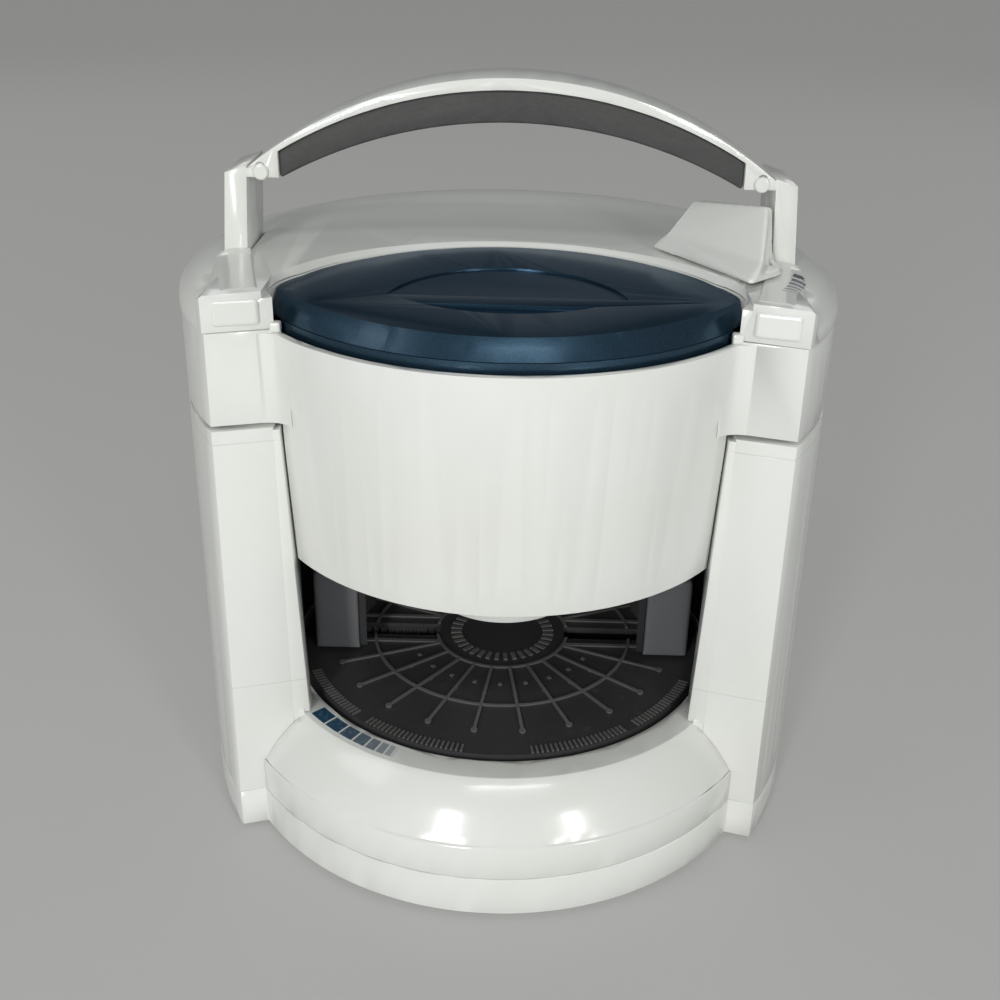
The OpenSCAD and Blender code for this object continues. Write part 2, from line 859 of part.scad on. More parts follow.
module head_cover() {
  outer = deck_line;
  inner = [for (p = outer) [max(0, p[0] - wall * max(0, (p[0] - 90) / 27)), p[1] - wall]];
  color(white)
    difference() {
      union() {
        difference() {
          intersection() {
            rotate_extrude($fn = 180)
              polygon(concat(outer, [[0, cover_seam]]));
            behind(0, cover_seam - 1, 230);
          }
          intersection() {
            rotate_extrude($fn = 180)
              polygon(concat([for (i = [0 : 9]) inner[i]], [[117 - wall, 205], [117 - wall, cover_seam - 1],
                [0, cover_seam - 1]]));
            behind(wall, cover_seam - 2, 230);
          }
        }
        at_points(screw_head)
          cylinder_at(4.5, frame_top, 212);
        left_right()
          intersection() {
            difference() {
              corner_block(pad_edge, 98.4, cover_seam, deck_front, 3, -72, -36);
              corner_block(pad_edge + wall, 94.5, cover_seam - 1, deck_front - wall, 3,
                front_y(bay_half) + wall + 0.4, -30);
            }
            behind(0, cover_seam - 1, 230);
            cylinder_at2(tower_top_r, cover_seam - 1, 230);
          }
        intersection() {
          translate([0, pad_back_y, 0])
            difference() {
              cylinder_at2(pad_back_r + 3, 204.5, 211.8);
              cylinder_at2(pad_back_r + 0.5, 204, 212);
            }
          translate([-pad_edge - 1, -49, 200])
            cube([2 * pad_edge + 2, 100, 20]);
        }
      }
      translate([-70, back_y - back_round, 0])
        rotate([90, 0, 90])
          linear_extrude(140)
            difference() {
              translate([0, 213.5 - back_round])
                square([back_round + 2, 12]);
              translate([0, 213.5 - back_round])
                circle(r = back_round);
            }
      power_pad_space(190, 230);
      intersection() {
        translate([0, pad_back_y, 212.3])
          cylinder(r1 = pad_back_r + 0.9, r2 = pad_back_r + 0.9 + rim_cut * 1.8, h = rim_cut * 2.2, $fn = 180);
        translate([-lens_x - 1, -130, 200])
          cube([2 * lens_x + 2, 260, 40]);
      }
      translate([0, 0, 190])
        linear_extrude(40)
          polygon([[-60, -20], [60, -20], [60, -120], [-60, -120]]);
      at_points(screw_head)
        cylinder_at(1.56, frame_top - 1, frame_top + 14);
      left_right()
        translate([91.2, -handle_half - 0.3, 200])
          cube([9.6, 2 * handle_half + 0.6, 30]);
      translate([lever_x, lever_y, 0])
        cylinder_at(5.4, 200, 230);
    }
}

module arch_plan(r, top) {
  translate([0, top - r])
    circle(r = r, $fn = 360);
}

module handle() {
  shell_low = 270.9;
  color(white)
    difference() {
      union() {
        translate([0, handle_half, 0])
          rotate([90, 0, 0])
            linear_extrude(2 * handle_half) {
              intersection() {
                difference() {
                  arch_plan(arch_r, arch_top);
                  arch_plan(grip_r, shell_low);
                }
                translate([-90.5, 200])
                  square([181, 100]);
              }
              intersection() {
                arch_plan(arch_r, arch_top);
                union() {
                  translate([grip_half + 0.3, 240.5])
                    square([91 - grip_half, 30]);
                  translate([-91 - 0.3, 240.5])
                    square([91 - grip_half, 30]);
                }
              }
              for (s = [-1, 1])
                polygon([[s * 90.1, 244.4], [s * 97.8, 242], [s * 100.2, 213.6],
                  [s * 100.2, 206], [s * 92, 206], [s * 92, 213.6]]);
            }
        left_right()
          translate([92.5, -9, frame_top])
            cube([6.5, 18, 34]);
      }
      left_right()
        translate([80, 0, 236])
          translate([5.5, -handle_half - 1, 8])
            rotate([-90, 0, 0])
              cylinder(r = 1.6, h = 6);
    }
}

module grip() {
  color([0.27, 0.27, 0.265])
    intersection() {
      translate([0, handle_half - 0.8, 0])
        rotate([90, 0, 0])
          linear_extrude(2 * handle_half - 1.6)
            intersection() {
              difference() {
                arch_plan(grip_r, 270.9 - 0.02);
                arch_plan(grip_low_r, 260.3);
              }
              translate([-grip_half, 230])
                square([2 * grip_half, 60]);
            }
    }
}

module handle_pins() {
  color(steel)
    left_right()
      translate([85.5, -handle_half - 0.4, 244])
        rotate([-90, 0, 0])
          cylinder(r = 1.55, h = 5.2);
}

module head_frame() {
  color(dark)
    difference() {
      union() {
        intersection() {
          union() {
            tower_solid(wall + seam, frame_low, frame_top);
            cylinder_at(92, frame_low, frame_top);
          }
          translate([-140, -140, frame_low - 1])
            linear_extrude(10)
              polygon([[140 - bay_half + 1.5, 0], [140 + bay_half - 1.5, 0], [140 + bay_half - 1.5, 70],
                [300, 70], [300, 300], [0, 300], [0, 70], [140 - bay_half + 1.5, 70]]);
        }
        left_right()
          translate([leg_x, -leg_half, leg_low])
            cube([leg_w, 2 * leg_half, frame_low - leg_low + 1]);
      }
      at_points(screw_head)
        cylinder_at(1.56, frame_low - 1, frame_top + 1);
      translate([lever_x, lever_y, 0])
        cylinder_at(lever_rod_r + run, frame_low - 1, frame_top + 1);
      at_points([[0, rod_y], [0, -rod_y]])
        cylinder_at(5, frame_low - 1, frame_top + 1);
      left_right()
        translate([leg_x + 3, -leg_half + 3, leg_low - 1])
          cube([leg_w - 6, 2 * leg_half - 6, 130]);
    }
}

module upper_carrier() {
  color([0.3, 0.305, 0.31])
    difference() {
      union() {
        cylinder_at(80, carrier_low, carrier_top);
        for (s = [-1, 1])
          translate([-76, s * (rail_in + 1.4) - 1.4, carrier_top - 1])
            cube([152, 2.8, 6.4]);
        cylinder_at(pin_r, carrier_top - 1, wheel_low + wheel_h + 1);
        at_points([[-50, 45], [50, 45], [-50, -45], [50, -45]])
          cylinder_at(4, carrier_top - 1, frame_low);
      }
      jaw_slots(carrier_low - 1, carrier_top + 1);
      at_points([[0, rod_y], [0, -rod_y]])
        cylinder_at(rod_r + run, carrier_low - 1, carrier_top + 1);
    }
}

module pad_deck() {
  color(dark)
    difference() {
      union() {
        intersection() {
          cylinder_at(92, deck2_low, deck2_top);
          translate([-72.5, -100, deck2_low])
            cube([145, 112, deck2_t]);
        }
        at_points([[-58, -40], [58, -40], [-40, 4], [40, 4]])
          cylinder_at(4, frame_top, deck2_top);
      }
      at_points([[-post_x, post_y], [post_x, post_y]])
        cylinder_at(3 + run, deck2_low - 1, deck2_top + 1);
    }
}

module pad_switch() {
  color([0.08, 0.08, 0.09]) {
    translate([-10, -48, deck2_top])
      cube([20, 9, 8]);
    translate([0, -43.5, 0])
      cylinder_at(2, deck2_top + 8, deck2_top + 9.5);
  }
}

module clamp_motor() {
  color([0.6, 0.61, 0.62])
    translate([clamp_xy, clamp_xy, 0])
      difference() {
        union() {
          cylinder_at(10, 140, frame_low);
          cylinder_at(3, 138.5, 141);
        }
        cylinder_at(1.5 + run, 138, 150);
      }
}

module head_screws() {
  color(steel)
    at_points(screw_head) {
      cylinder_at(1.5, frame_low, frame_top + 13);
      cylinder_at(3, frame_low - 2, frame_low);
    }
}

module lid_plate() {
  color(white)
    difference() {
      intersection() {
        cylinder_at(30, plate_low, plate_low + plate_t);
        translate([-19.4, -40, plate_low - 1])
          cube([38.8, 80, 10]);
      }
      at_points([[0, rod_y], [0, -rod_y]])
        cylinder_at(rod_r, plate_low + 1, plate_low + 10);
    }
}

module lid_rods() {
  color(steel)
    at_points([[0, rod_y], [0, -rod_y]]) {
      cylinder_at(rod_r, plate_low + 1, carrier_top + 4);
      cylinder_at(4, carrier_top + 0.3, carrier_top + 3.3);
    }
}

module lid_springs() {
  color(steel)
    at_points([[0, rod_y], [0, -rod_y]])
      coil(4.6, 0.5, plate_low + plate_t + 0.1, carrier_low - 0.1, 9);
}

module upper_jaw_right() {
  color([0.36, 0.37, 0.38])
    jaw(upper_jaw_tip, carrier_low - 0.4, carrier_low - 1, upper_rack_low + rack_h, upper_rack_low);
}

module upper_jaw_left() {
  rotate(180)
    upper_jaw_right();
}

module upper_pad_right() {
  color([0.1, 0.1, 0.1])
    jaw_pad(upper_jaw_tip + 1, carrier_low - 3);
}

module upper_pad_left() {
  rotate(180)
    upper_pad_right();
}

module upper_pinion() {
  color([0.8, 0.8, 0.76])
    difference() {
      union() {
        gear(pinion_teeth, upper_rack_low, upper_rack_low + rack_h, 90);
        cylinder_at(6, upper_rack_low, wheel_low + 1);
        gear(wheel_teeth, wheel_low, wheel_low + wheel_h, 45);
      }
      cylinder_at(pin_r + run, upper_rack_low - 1, wheel_low + 20);
    }
}

module clamp_pinion() {
  color([0.75, 0.68, 0.4])
    translate([clamp_xy, clamp_xy, 0]) {
      gear(clamp_teeth, wheel_low, wheel_low + 5, 225 + 180 / clamp_teeth);
      cylinder_at(1.5, wheel_low + 4, 149);
    }
}

module pad_top(d) {
  intersection() {
    cylinder_at2(pad_r - d, flange_low, flange_top);
    translate([0, pad_back_y, 0])
      cylinder_at2(pad_back_r - d, flange_low, flange_top);
    translate([-lens_x + 2.6 + d, -130, 190])
      cube([2 * (lens_x - 2.6 - d), 260, 30]);
  }
  intersection() {
    translate([0, 0, flange_top - 0.1])
      cylinder(r1 = pad_r - 0.8 - d, r2 = pad_r - 8.3 - d, h = 10.1, $fn = 180);
    translate([0, pad_back_y, flange_top - 0.1])
      cylinder(r1 = pad_back_r - d, r2 = pad_back_r - 1 - d, h = 10.1, $fn = 180);
    translate([-lens_x + d, -130, 190])
      cube([2 * (lens_x - d), 260, 40]);
    translate([0, -84, pad_front_top])
      rotate([pad_tilt, 0, 0])
        translate([-100, -60, -40])
          cube([200, 200, 40]);
  }
}

// Everything above the pad's slanting top less a depth
module pad_dish(depth) {
  translate([0, -84, pad_front_top - depth])
    rotate([pad_tilt, 0, 0])
      translate([-100, -60, 0])
        cube([200, 200, 20]);
}

module power_pad() {
  color([0.13, 0.24, 0.36])
    difference() {
      union() {
        difference() {
          union() {
            pad_top(0);
            lens(-2.6, 198.4, 204);
          }
          lens(-4.8, 196, 206);
          intersection() {
            lens(-11, 198, 208.2);
            cylinder_at2(80, 198, 208.2);
          }
          intersection() {
            translate([0, -56, 0])
              cylinder_at2(40.5, 200, 230);
            translate([-60, -48, 200])
              cube([120, 60, 30]);
            pad_dish(0.7);
          }
          intersection() {
            translate([0, -13.2, 0])
              cylinder_at2(51.4, 200, 230);
            translate([-60, -120, 200])
              cube([120, 64, 30]);
            pad_dish(1.3);
          }
        }
        at_points([[-post_x, post_y], [post_x, post_y]]) {
          cylinder_at(6.5, 203, 209);
          cylinder_at(3, deck2_low - 4, 204);
        }
        translate([0, -43.5, 0])
          cylinder_at(3, 203.4, 209);
      }
    }
}

module pad_springs() {
  color(steel)
    at_points([[-post_x, post_y], [post_x, post_y]])
      coil(4.6, 0.5, deck2_top + 0.1, 202.9, 4);
}

// Release lever: a wedge with a slanting face on a flared foot that rides over the deck
module release_lever() {
  face = [[56.2, 1.4, 221], [84.3, -36, 221], [86.8, -20, 236.4], [65.4, 5.2, 232.6]];
  rear = [[61.5, 8.2, 221], [90.6, -18.6, 221], [89.2, -17.2, 235.6], [69, 8.4, 231.4]];
  color(white)
    difference() {
      union() {
        hull() {
          translate([0, 0, 212])
            linear_extrude(4.6)
              polygon([[52.2, 4.4], [79.4, -41.6], [81.6, -41.2], [91.7, -19], [91.2, -16.2], [62.5, 9.6], [53.4, 6.6]]);
          translate([0, 0, 221])
            linear_extrude(0.2)
              polygon([for (p = [face[0], face[1], rear[1], rear[0]]) [p[0], p[1]]]);
        }
        hull()
          polyhedron(concat(face, rear, [for (p = [face[0], face[1], rear[1], rear[0]]) [p[0], p[1], 217]]),
            [[0, 1, 2], [0, 2, 3], [4, 6, 5], [4, 7, 6], [3, 2, 6], [3, 6, 7], [2, 1, 5], [2, 5, 6], [0, 3, 7],
              [0, 7, 4], [1, 0, 8], [1, 8, 9], [5, 1, 9], [5, 9, 10], [4, 5, 10], [4, 10, 11], [0, 4, 11],
              [0, 11, 8], [8, 11, 10], [8, 10, 9]]);
      }
      translate([0, 0, lever_gap])
        rotate_extrude($fn = 180)
          polygon(concat(deck_line, [[117, 205], [0, 205]]));
      translate([lever_x, lever_y, 0])
        cylinder_at(lever_rod_r, frame_top - 1, 219);
    }
  color(white)
    translate([lever_x, lever_y, 0])
      difference() {
        cylinder_at(4.8, frame_top + 0.3, 217);
        cylinder_at(lever_rod_r, frame_top - 1, 219);
      }
}

module release_rod() {
  color(steel)
    translate([lever_x, lever_y, 0]) {
      cylinder_at(lever_rod_r, 42, 218);
      translate([-1.5, -14.4, 44.6])
        cube([3, 14.4, 2.4]);
    }
}

base_pan();
rubber_feet();
base_housing();
tower_housing();
bay_liner();
leg_guides();
ratchet_rack();
spindle();
spindle_clip();
glide_ring();
idler_axle();
drive_motor();
motor_bracket();
case_screws();
power_board();
cord_bush();
platter();
jaw_guide();
pinion_pin();
drive_gear();
platter_screws();
lower_jaw_left();
lower_pad_left();
lower_jaw_right();
lower_pad_right();
lower_pinion();
idler_gear();
motor_pinion();
head_skirt();
head_cover();
handle();
grip();
handle_pins();
head_frame();
upper_carrier();
pad_deck();
pad_switch();
clamp_motor();
head_screws();
lid_plate();
lid_rods();
lid_springs();
upper_jaw_left();
upper_pad_left();
upper_jaw_right();
upper_pad_right();
upper_pinion();
clamp_pinion();
power_pad();
pad_springs();
release_lever();
release_rod();
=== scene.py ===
import math

import bmesh
import bpy
from mathutils import Matrix, Vector


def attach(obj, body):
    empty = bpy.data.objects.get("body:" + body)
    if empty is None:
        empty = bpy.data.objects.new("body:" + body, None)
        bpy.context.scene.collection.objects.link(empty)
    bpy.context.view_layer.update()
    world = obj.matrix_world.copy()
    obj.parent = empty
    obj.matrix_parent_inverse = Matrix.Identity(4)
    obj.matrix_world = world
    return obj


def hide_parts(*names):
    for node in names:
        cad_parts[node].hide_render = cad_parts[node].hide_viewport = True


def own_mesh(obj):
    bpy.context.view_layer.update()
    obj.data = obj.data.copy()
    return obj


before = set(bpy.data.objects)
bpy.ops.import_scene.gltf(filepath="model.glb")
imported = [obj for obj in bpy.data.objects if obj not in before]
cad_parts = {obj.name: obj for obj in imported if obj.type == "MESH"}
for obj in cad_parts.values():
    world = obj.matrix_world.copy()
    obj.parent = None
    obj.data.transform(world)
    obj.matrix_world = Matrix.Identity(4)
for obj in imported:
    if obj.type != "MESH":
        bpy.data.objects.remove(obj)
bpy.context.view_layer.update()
mm = 0.001
print("frame loaded:", len(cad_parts), "nodes")


# materials
# small wrapper so that a shader graph reads from left to right
class Shader:
    def __init__(self, name):
        self.material = bpy.data.materials.new(name)
        self.material.use_nodes = True
        self.tree = self.material.node_tree
        self.tree.nodes.clear()
        self.out = self.node("ShaderNodeOutputMaterial")
        self.bsdf = self.node("ShaderNodeBsdfPrincipled")
        self.link(self.bsdf.outputs[0], self.out.inputs[0])
        self.place = self.node("ShaderNodeTexCoord").outputs["Object"]

    def node(self, kind, **settings):
        made = self.tree.nodes.new(kind)
        for key, value in settings.items():
            setattr(made, key, value)
        return made

    def link(self, a, b):
        self.tree.links.new(a, b)

    def put(self, socket, value):
        if isinstance(value, bpy.types.NodeSocket):
            self.link(value, socket)
        else:
            socket.default_value = value

    def math(self, kind, a, b=0.0, c=0.0):
        made = self.node("ShaderNodeMath", operation=kind)
        for socket, value in zip(made.inputs, (a, b, c)):
            self.put(socket, value)
        return made.outputs[0]

    def noise(self, scale, detail=3.0, rough=0.55, stretch=(1, 1, 1)):
        mapping = self.node("ShaderNodeMapping")
        self.link(self.place, mapping.inputs["Vector"])
        mapping.inputs["Scale"].default_value = stretch
        made = self.node("ShaderNodeTexNoise")
        self.link(mapping.outputs[0], made.inputs["Vector"])
        made.inputs["Scale"].default_value = scale
        made.inputs["Detail"].default_value = detail
        made.inputs["Roughness"].default_value = rough
        return made.outputs["Fac"]

    def remap(self, value, low, high, outLow, outHigh, smooth=False):
        made = self.node("ShaderNodeMapRange")
        if smooth:
            made.interpolation_type = "SMOOTHSTEP"
        ends = {"Value": value, "From Min": low, "From Max": high, "To Min": outLow, "To Max": outHigh}
        for key, v in ends.items():
            self.put(made.inputs[key], v)
        return made.outputs["Result"]

    def mix(self, factor, a, b):
        made = self.node("ShaderNodeMix", data_type="RGBA")
        self.put(made.inputs["Factor"], factor)
        for socket, value in ((made.inputs["A"], a), (made.inputs["B"], b)):
            linked = isinstance(value, bpy.types.NodeSocket)
            self.put(socket, value if linked else tuple(value) + (1.0,) * (4 - len(value)))
        return made.outputs["Result"]

    def axes(self):
        made = self.node("ShaderNodeSeparateXYZ")
        self.link(self.place, made.inputs[0])
        return made.outputs

    def bump(self, height, distance, strength=1.0, under=None):
        made = self.node("ShaderNodeBump")
        self.put(made.inputs["Height"], height)
        made.inputs["Distance"].default_value = distance
        made.inputs["Strength"].default_value = strength
        if under is not None:
            self.link(under, made.inputs["Normal"])
        return made.outputs[0]

    def set(self, **values):
        for key, value in values.items():
            name = key.replace("_", " ")
            if name == "Base Color" and not isinstance(value, bpy.types.NodeSocket):
                value = tuple(value) + (1.0,) * (4 - len(value))
            self.put(self.bsdf.inputs[name], value)
        return self


def glossWhite(name, tint=(0.755, 0.77, 0.735), lines=(), rough=(0.13, 0.24)):
    s = Shader(name)
    broad = s.noise(14, 4)
    fine = s.noise(900, 2)
    colour = s.mix(s.remap(broad, 0.35, 0.7, 0.0, 1.0), tint, tuple(c * f for c, f in zip(tint, (0.955, 0.95, 0.93))))
    height = s.math("MULTIPLY", fine, 0.02)
    marks = s.noise(70, 6, 0.7, (1, 1, 0.35))
    scuff = s.remap(marks, 0.66, 0.78, 0.0, 1.0)
    colour = s.mix(s.math("MULTIPLY", scuff, 0.10), colour, (0.55, 0.55, 0.52))
    if lines:
        z = s.axes()[2]
        groove = None
        for level in lines:
            near = s.math("ABSOLUTE", s.math("SUBTRACT", z, level * mm))
            one = s.remap(near, 0.0, 0.35 * mm, 1.0, 0.0, True)
            groove = one if groove is None else s.math("MAXIMUM", groove, one)
        colour = s.mix(s.math("MULTIPLY", groove, 0.35), colour, (0.42, 0.42, 0.40))
        height = s.math("SUBTRACT", height, s.math("MULTIPLY", groove, 0.5))
    roughness = s.math("ADD", s.remap(broad, 0.3, 0.75, rough[0], rough[1]), s.math("MULTIPLY", scuff, 0.18))
    s.set(Base_Color=colour, Roughness=roughness, Normal=s.bump(height, 0.3 * mm, 0.35))
    s.set(Coat_Weight=0.25, Coat_Roughness=0.08, IOR=1.47)
    return s.material


def satinPlastic(name, tint, rough=0.42, grain=650, depth=0.12, dustAndHighlight=None):
    s = Shader(name)
    broad = s.noise(22, 4)
    fine = s.noise(grain, 3, 0.6)
    dust = s.remap(s.noise(160, 5, 0.7), 0.62, 0.75, 0.0, 1.0)
    colour = s.mix(s.remap(broad, 0.3, 0.7, 0.0, 1.0), tint, tuple(c * 0.8 for c in tint))
    colour = s.mix(s.math("MULTIPLY", dust, 0.12), colour, (0.35, 0.34, 0.32))
    # above the given height the colour turns lighter towards the given tone: dust and painted highlight on raised tops
    if dustAndHighlight:
        level, tone = dustAndHighlight
        colour = s.mix(s.remap(s.axes()[2], level * mm, (level + 0.4) * mm, 0.0, 0.85), colour, tone)
    s.set(Base_Color=colour, Roughness=s.remap(fine, 0.3, 0.7, rough - 0.06, rough + 0.1))
    s.set(Normal=s.bump(fine, depth * mm, 0.4))
    return s.material


def metallicBlue(name):
    s = Shader(name)
    flake = s.node("ShaderNodeTexVoronoi")
    s.link(s.place, flake.inputs["Vector"])
    flake.inputs["Scale"].default_value = 2600
    sparkle = s.remap(flake.outputs["Distance"], 0.1, 0.6, 0.0, 1.0)
    broad = s.noise(9, 3)
    colour = s.mix(sparkle, (0.016, 0.042, 0.070), (0.036, 0.085, 0.135))
    colour = s.mix(s.remap(broad, 0.35, 0.7, 0.0, 0.5), colour, (0.010, 0.024, 0.040))
    swirl = s.remap(s.noise(55, 7, 0.75, (1, 2.4, 1)), 0.6, 0.72, 0.0, 1.0)
    rough = s.math("ADD", s.remap(broad, 0.3, 0.7, 0.29, 0.36), s.math("MULTIPLY", swirl, 0.10))
    s.set(Base_Color=colour, Metallic=0.85, Roughness=rough, Normal=s.bump(sparkle, 0.02 * mm, 0.25))
    s.set(Coat_Weight=0.4, Coat_Roughness=0.2, Specular_Tint=(0.30, 0.42, 0.52, 1.0))
    return s.material


def softRubber(name, tint, rough=0.72):
    s = Shader(name)
    fine = s.noise(1400, 2, 0.6)
    broad = s.noise(18, 4)
    wear = s.remap(s.noise(60, 5, 0.7, (0.4, 1, 1)), 0.58, 0.74, 0.0, 1.0)
    colour = s.mix(s.remap(broad, 0.3, 0.7, 0.0, 1.0), tint, tuple(c * 0.82 for c in tint))
    colour = s.mix(s.math("MULTIPLY", wear, 0.22), colour, tuple(min(1, c * 1.7) for c in tint))
    s.set(Base_Color=colour, Roughness=s.remap(fine, 0.3, 0.7, rough - 0.08, rough + 0.1))
    s.set(Normal=s.bump(fine, 0.10 * mm, 0.5), Sheen_Weight=0.08)
    return s.material


def plainMetal(name, tint, rough=0.3, stretch=(1, 1, 30)):
    s = Shader(name)
    brushed = s.noise(220, 4, 0.6, stretch)
    broad = s.noise(30, 3)
    colour = s.mix(s.remap(broad, 0.3, 0.7, 0.0, 1.0), tint, tuple(c * 0.86 for c in tint))
    s.set(Base_Color=colour, Metallic=1.0, Roughness=s.remap(brushed, 0.3, 0.7, rough - 0.07, rough + 0.1))
    s.set(Normal=s.bump(brushed, 0.02 * mm, 0.4))
    return s.material


def circuitBoard(name):
    s = Shader(name)
    tracks = s.node("ShaderNodeTexBrick")
    s.link(s.place, tracks.inputs["Vector"])
    tracks.inputs["Scale"].default_value = 160
    for key, tone in (("Color1", (0.03, 0.16, 0.07)), ("Color2", (0.04, 0.2, 0.09)), ("Mortar", (0.1, 0.3, 0.12))):
        tracks.inputs[key].default_value = tone + (1,)
    s.set(Base_Color=tracks.outputs["Color"], Roughness=0.4)
    return s.material


finishes = {
    "caseWhite": glossWhite("caseWhite", lines=(66.0, 163.2)),
    "panWhite": glossWhite("panWhite"),
    "drumWhite": glossWhite("drumWhite"),
    "headWhite": glossWhite("headWhite"),
    "coverWhite": glossWhite("coverWhite"),
    "handleWhite": glossWhite("handleWhite"),
    "leverWhite": glossWhite("leverWhite"),
    "plateWhite": glossWhite("plateWhite", rough=(0.3, 0.4)),
    "padBlue": metallicBlue("padBlue"),
    "gripRubber": softRubber("gripRubber", (0.062, 0.062, 0.060)),
    "feetRubber": softRubber("feetRubber", (0.02, 0.02, 0.02)),
    "facingRubber": softRubber("facingRubber", (0.025, 0.025, 0.026), 0.6),
    # the bay liner's dark grey is partly its own colour and partly painted shade inside the bay
    "linerGrey": satinPlastic("linerGrey", (0.10, 0.10, 0.102), 0.5),
    "blackMoulding": satinPlastic("blackMoulding", (0.022, 0.022, 0.024), 0.5),
    # the platter is painted lighter above the rib level: dust and painted highlight on the rib tops
    "platterBlack": satinPlastic("platterBlack", (0.045, 0.045, 0.047), 0.42, 800, 0.16, (51.35, (0.15, 0.145, 0.14))),
    # the ribs are a lighter grey than the platter: dust and painted highlight on the ribs
    "ribGrey": satinPlastic("ribGrey", (0.14, 0.135, 0.13), 0.36, 800, 0.1),
    "jawGrey": satinPlastic("jawGrey", (0.165, 0.17, 0.178), 0.4, 700, 0.08),
    "stripSteel": plainMetal("stripSteel", (0.5, 0.5, 0.51), 0.34),
    "brightSteel": plainMetal("brightSteel", (0.62, 0.62, 0.63), 0.26),
    "motorSteel": plainMetal("motorSteel", (0.5, 0.51, 0.52), 0.36, (1, 1, 0.05)),
    "nylon": satinPlastic("nylon", (0.62, 0.61, 0.55), 0.38, 500, 0.05),
    "brass": plainMetal("brass", (0.62, 0.45, 0.16), 0.28),
    "board": circuitBoard("board"),
}

wear = {
    "caseWhite": ["tower_housing"], "panWhite": ["base_pan"], "drumWhite": ["base_housing"],
    "headWhite": ["head_skirt"], "coverWhite": ["head_cover"], "handleWhite": ["handle"],
    "leverWhite": ["release_lever"], "plateWhite": ["lid_plate"], "padBlue": ["power_pad"],
    "gripRubber": ["grip"], "feetRubber": ["rubber_feet", "cord_bush"],
    "facingRubber": ["lower_pad_left", "lower_pad_right", "upper_pad_left", "upper_pad_right"],
    "linerGrey": ["bay_liner"],
    "blackMoulding": ["leg_guides", "motor_bracket", "jaw_guide", "head_frame", "pad_deck", "pad_switch"],
    "platterBlack": ["platter"],
    "jawGrey": ["lower_jaw_left", "lower_jaw_right", "upper_jaw_left", "upper_jaw_right", "upper_carrier"],
    "stripSteel": ["ratchet_rack"],
    "brightSteel": ["spindle", "spindle_clip", "pinion_pin", "idler_axle", "case_screws", "platter_screws",
                    "handle_pins", "head_screws", "lid_rods", "lid_springs", "pad_springs", "release_rod"],
    "motorSteel": ["drive_motor", "clamp_motor"],
    "nylon": ["glide_ring", "drive_gear", "lower_pinion", "idler_gear", "upper_pinion"],
    "brass": ["motor_pinion", "clamp_pinion"],
    "board": ["power_board"],
}
for finish, nodes in wear.items():
    for node in nodes:
        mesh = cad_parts[node].data
        mesh.materials.clear()
        mesh.materials.append(finishes[finish])
print("finishes:", len(finishes))


# moulded edges
def makePiece(name, mesh, finish, body):
    mesh.materials.clear()
    mesh.materials.append(finishes[finish])
    piece = bpy.data.objects.new(name, mesh)
    bpy.context.scene.collection.objects.link(piece)
    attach(piece, body)
    return piece


def meshFrom(name, bm):
    mesh = bpy.data.meshes.new(name)
    bm.to_mesh(mesh)
    bm.free()
    return mesh


def bakeModifiers(piece):
    graph = bpy.context.evaluated_depsgraph_get()
    made = bpy.data.meshes.new_from_object(piece.evaluated_get(graph))
    piece.modifiers.clear()
    old = piece.data
    piece.data = made
    bpy.data.meshes.remove(old)
    return piece


# how much of a piece's full edge round a place gets, from 0 to 1
padEdges = {"recessY": -0.056, "recessRadius": 0.0425, "recessAbove": 0.208, "recess": 0.12, "topAbove": 0.2085,
            "rest": 0.22}
coverEdges = {"blockX": 0.0765, "blockY": -0.052, "openingY": -0.066, "openingRadius": 0.0835, "opening": 0.25,
              "rest": 0.45}
towerEdges = {"frontY": -0.052, "low": 0.03, "high": 0.165, "rest": 0.45}


def padShare(point, turn):
    e = padEdges
    x, y, z = point
    if math.hypot(x, y - e["recessY"]) < e["recessRadius"] and z > e["recessAbove"]:
        return e["recess"]
    return 1.0 if z > e["topAbove"] and turn > 0 else e["rest"]


def coverShare(point, turn):
    e = coverEdges
    x, y, z = point
    if abs(x) > e["blockX"] and y < e["blockY"]:
        return 1.0
    if math.hypot(x, y - e["openingY"]) < e["openingRadius"] and turn > 0:
        return e["opening"]
    return e["rest"]


def towerShare(point, turn):
    e = towerEdges
    x, y, z = point
    return 1.0 if y < e["frontY"] and e["low"] < z < e["high"] else e["rest"]


def everyShare(point, turn):
    return 1.0


# the pad and the opening round it reach a little further out towards the corner blocks
padWidening = {"above": 0.20395, "table": ((0, 0), (50, 50), (72.7, 75.8), (76, 77.3), (90, 90))}
coverWidening = {"back": -0.030, "fade": 0.012, "table": ((0, 0), (50, 50), (71.8, 75.0), (76.9, 77.9), (90, 90))}


def bend(value, table):
    for (a, b), (c, d) in zip(table, table[1:]):
        if abs(value) <= c:
            return math.copysign(b + (d - b) * (abs(value) - a) / (c - a), value)
    return value


def padReach(v):
    if v.z >= padWidening["above"]:
        v.x = bend(v.x / mm, padWidening["table"]) * mm


def coverReach(v):
    c = coverWidening
    if v.y < c["back"] and abs(v.x) < c["table"][-1][0] * mm:
        full = bend(v.x / mm, c["table"]) * mm
        v.x += (full - v.x) * min(1.0, (c["back"] - v.y) / c["fade"])


def noReach(v):
    pass


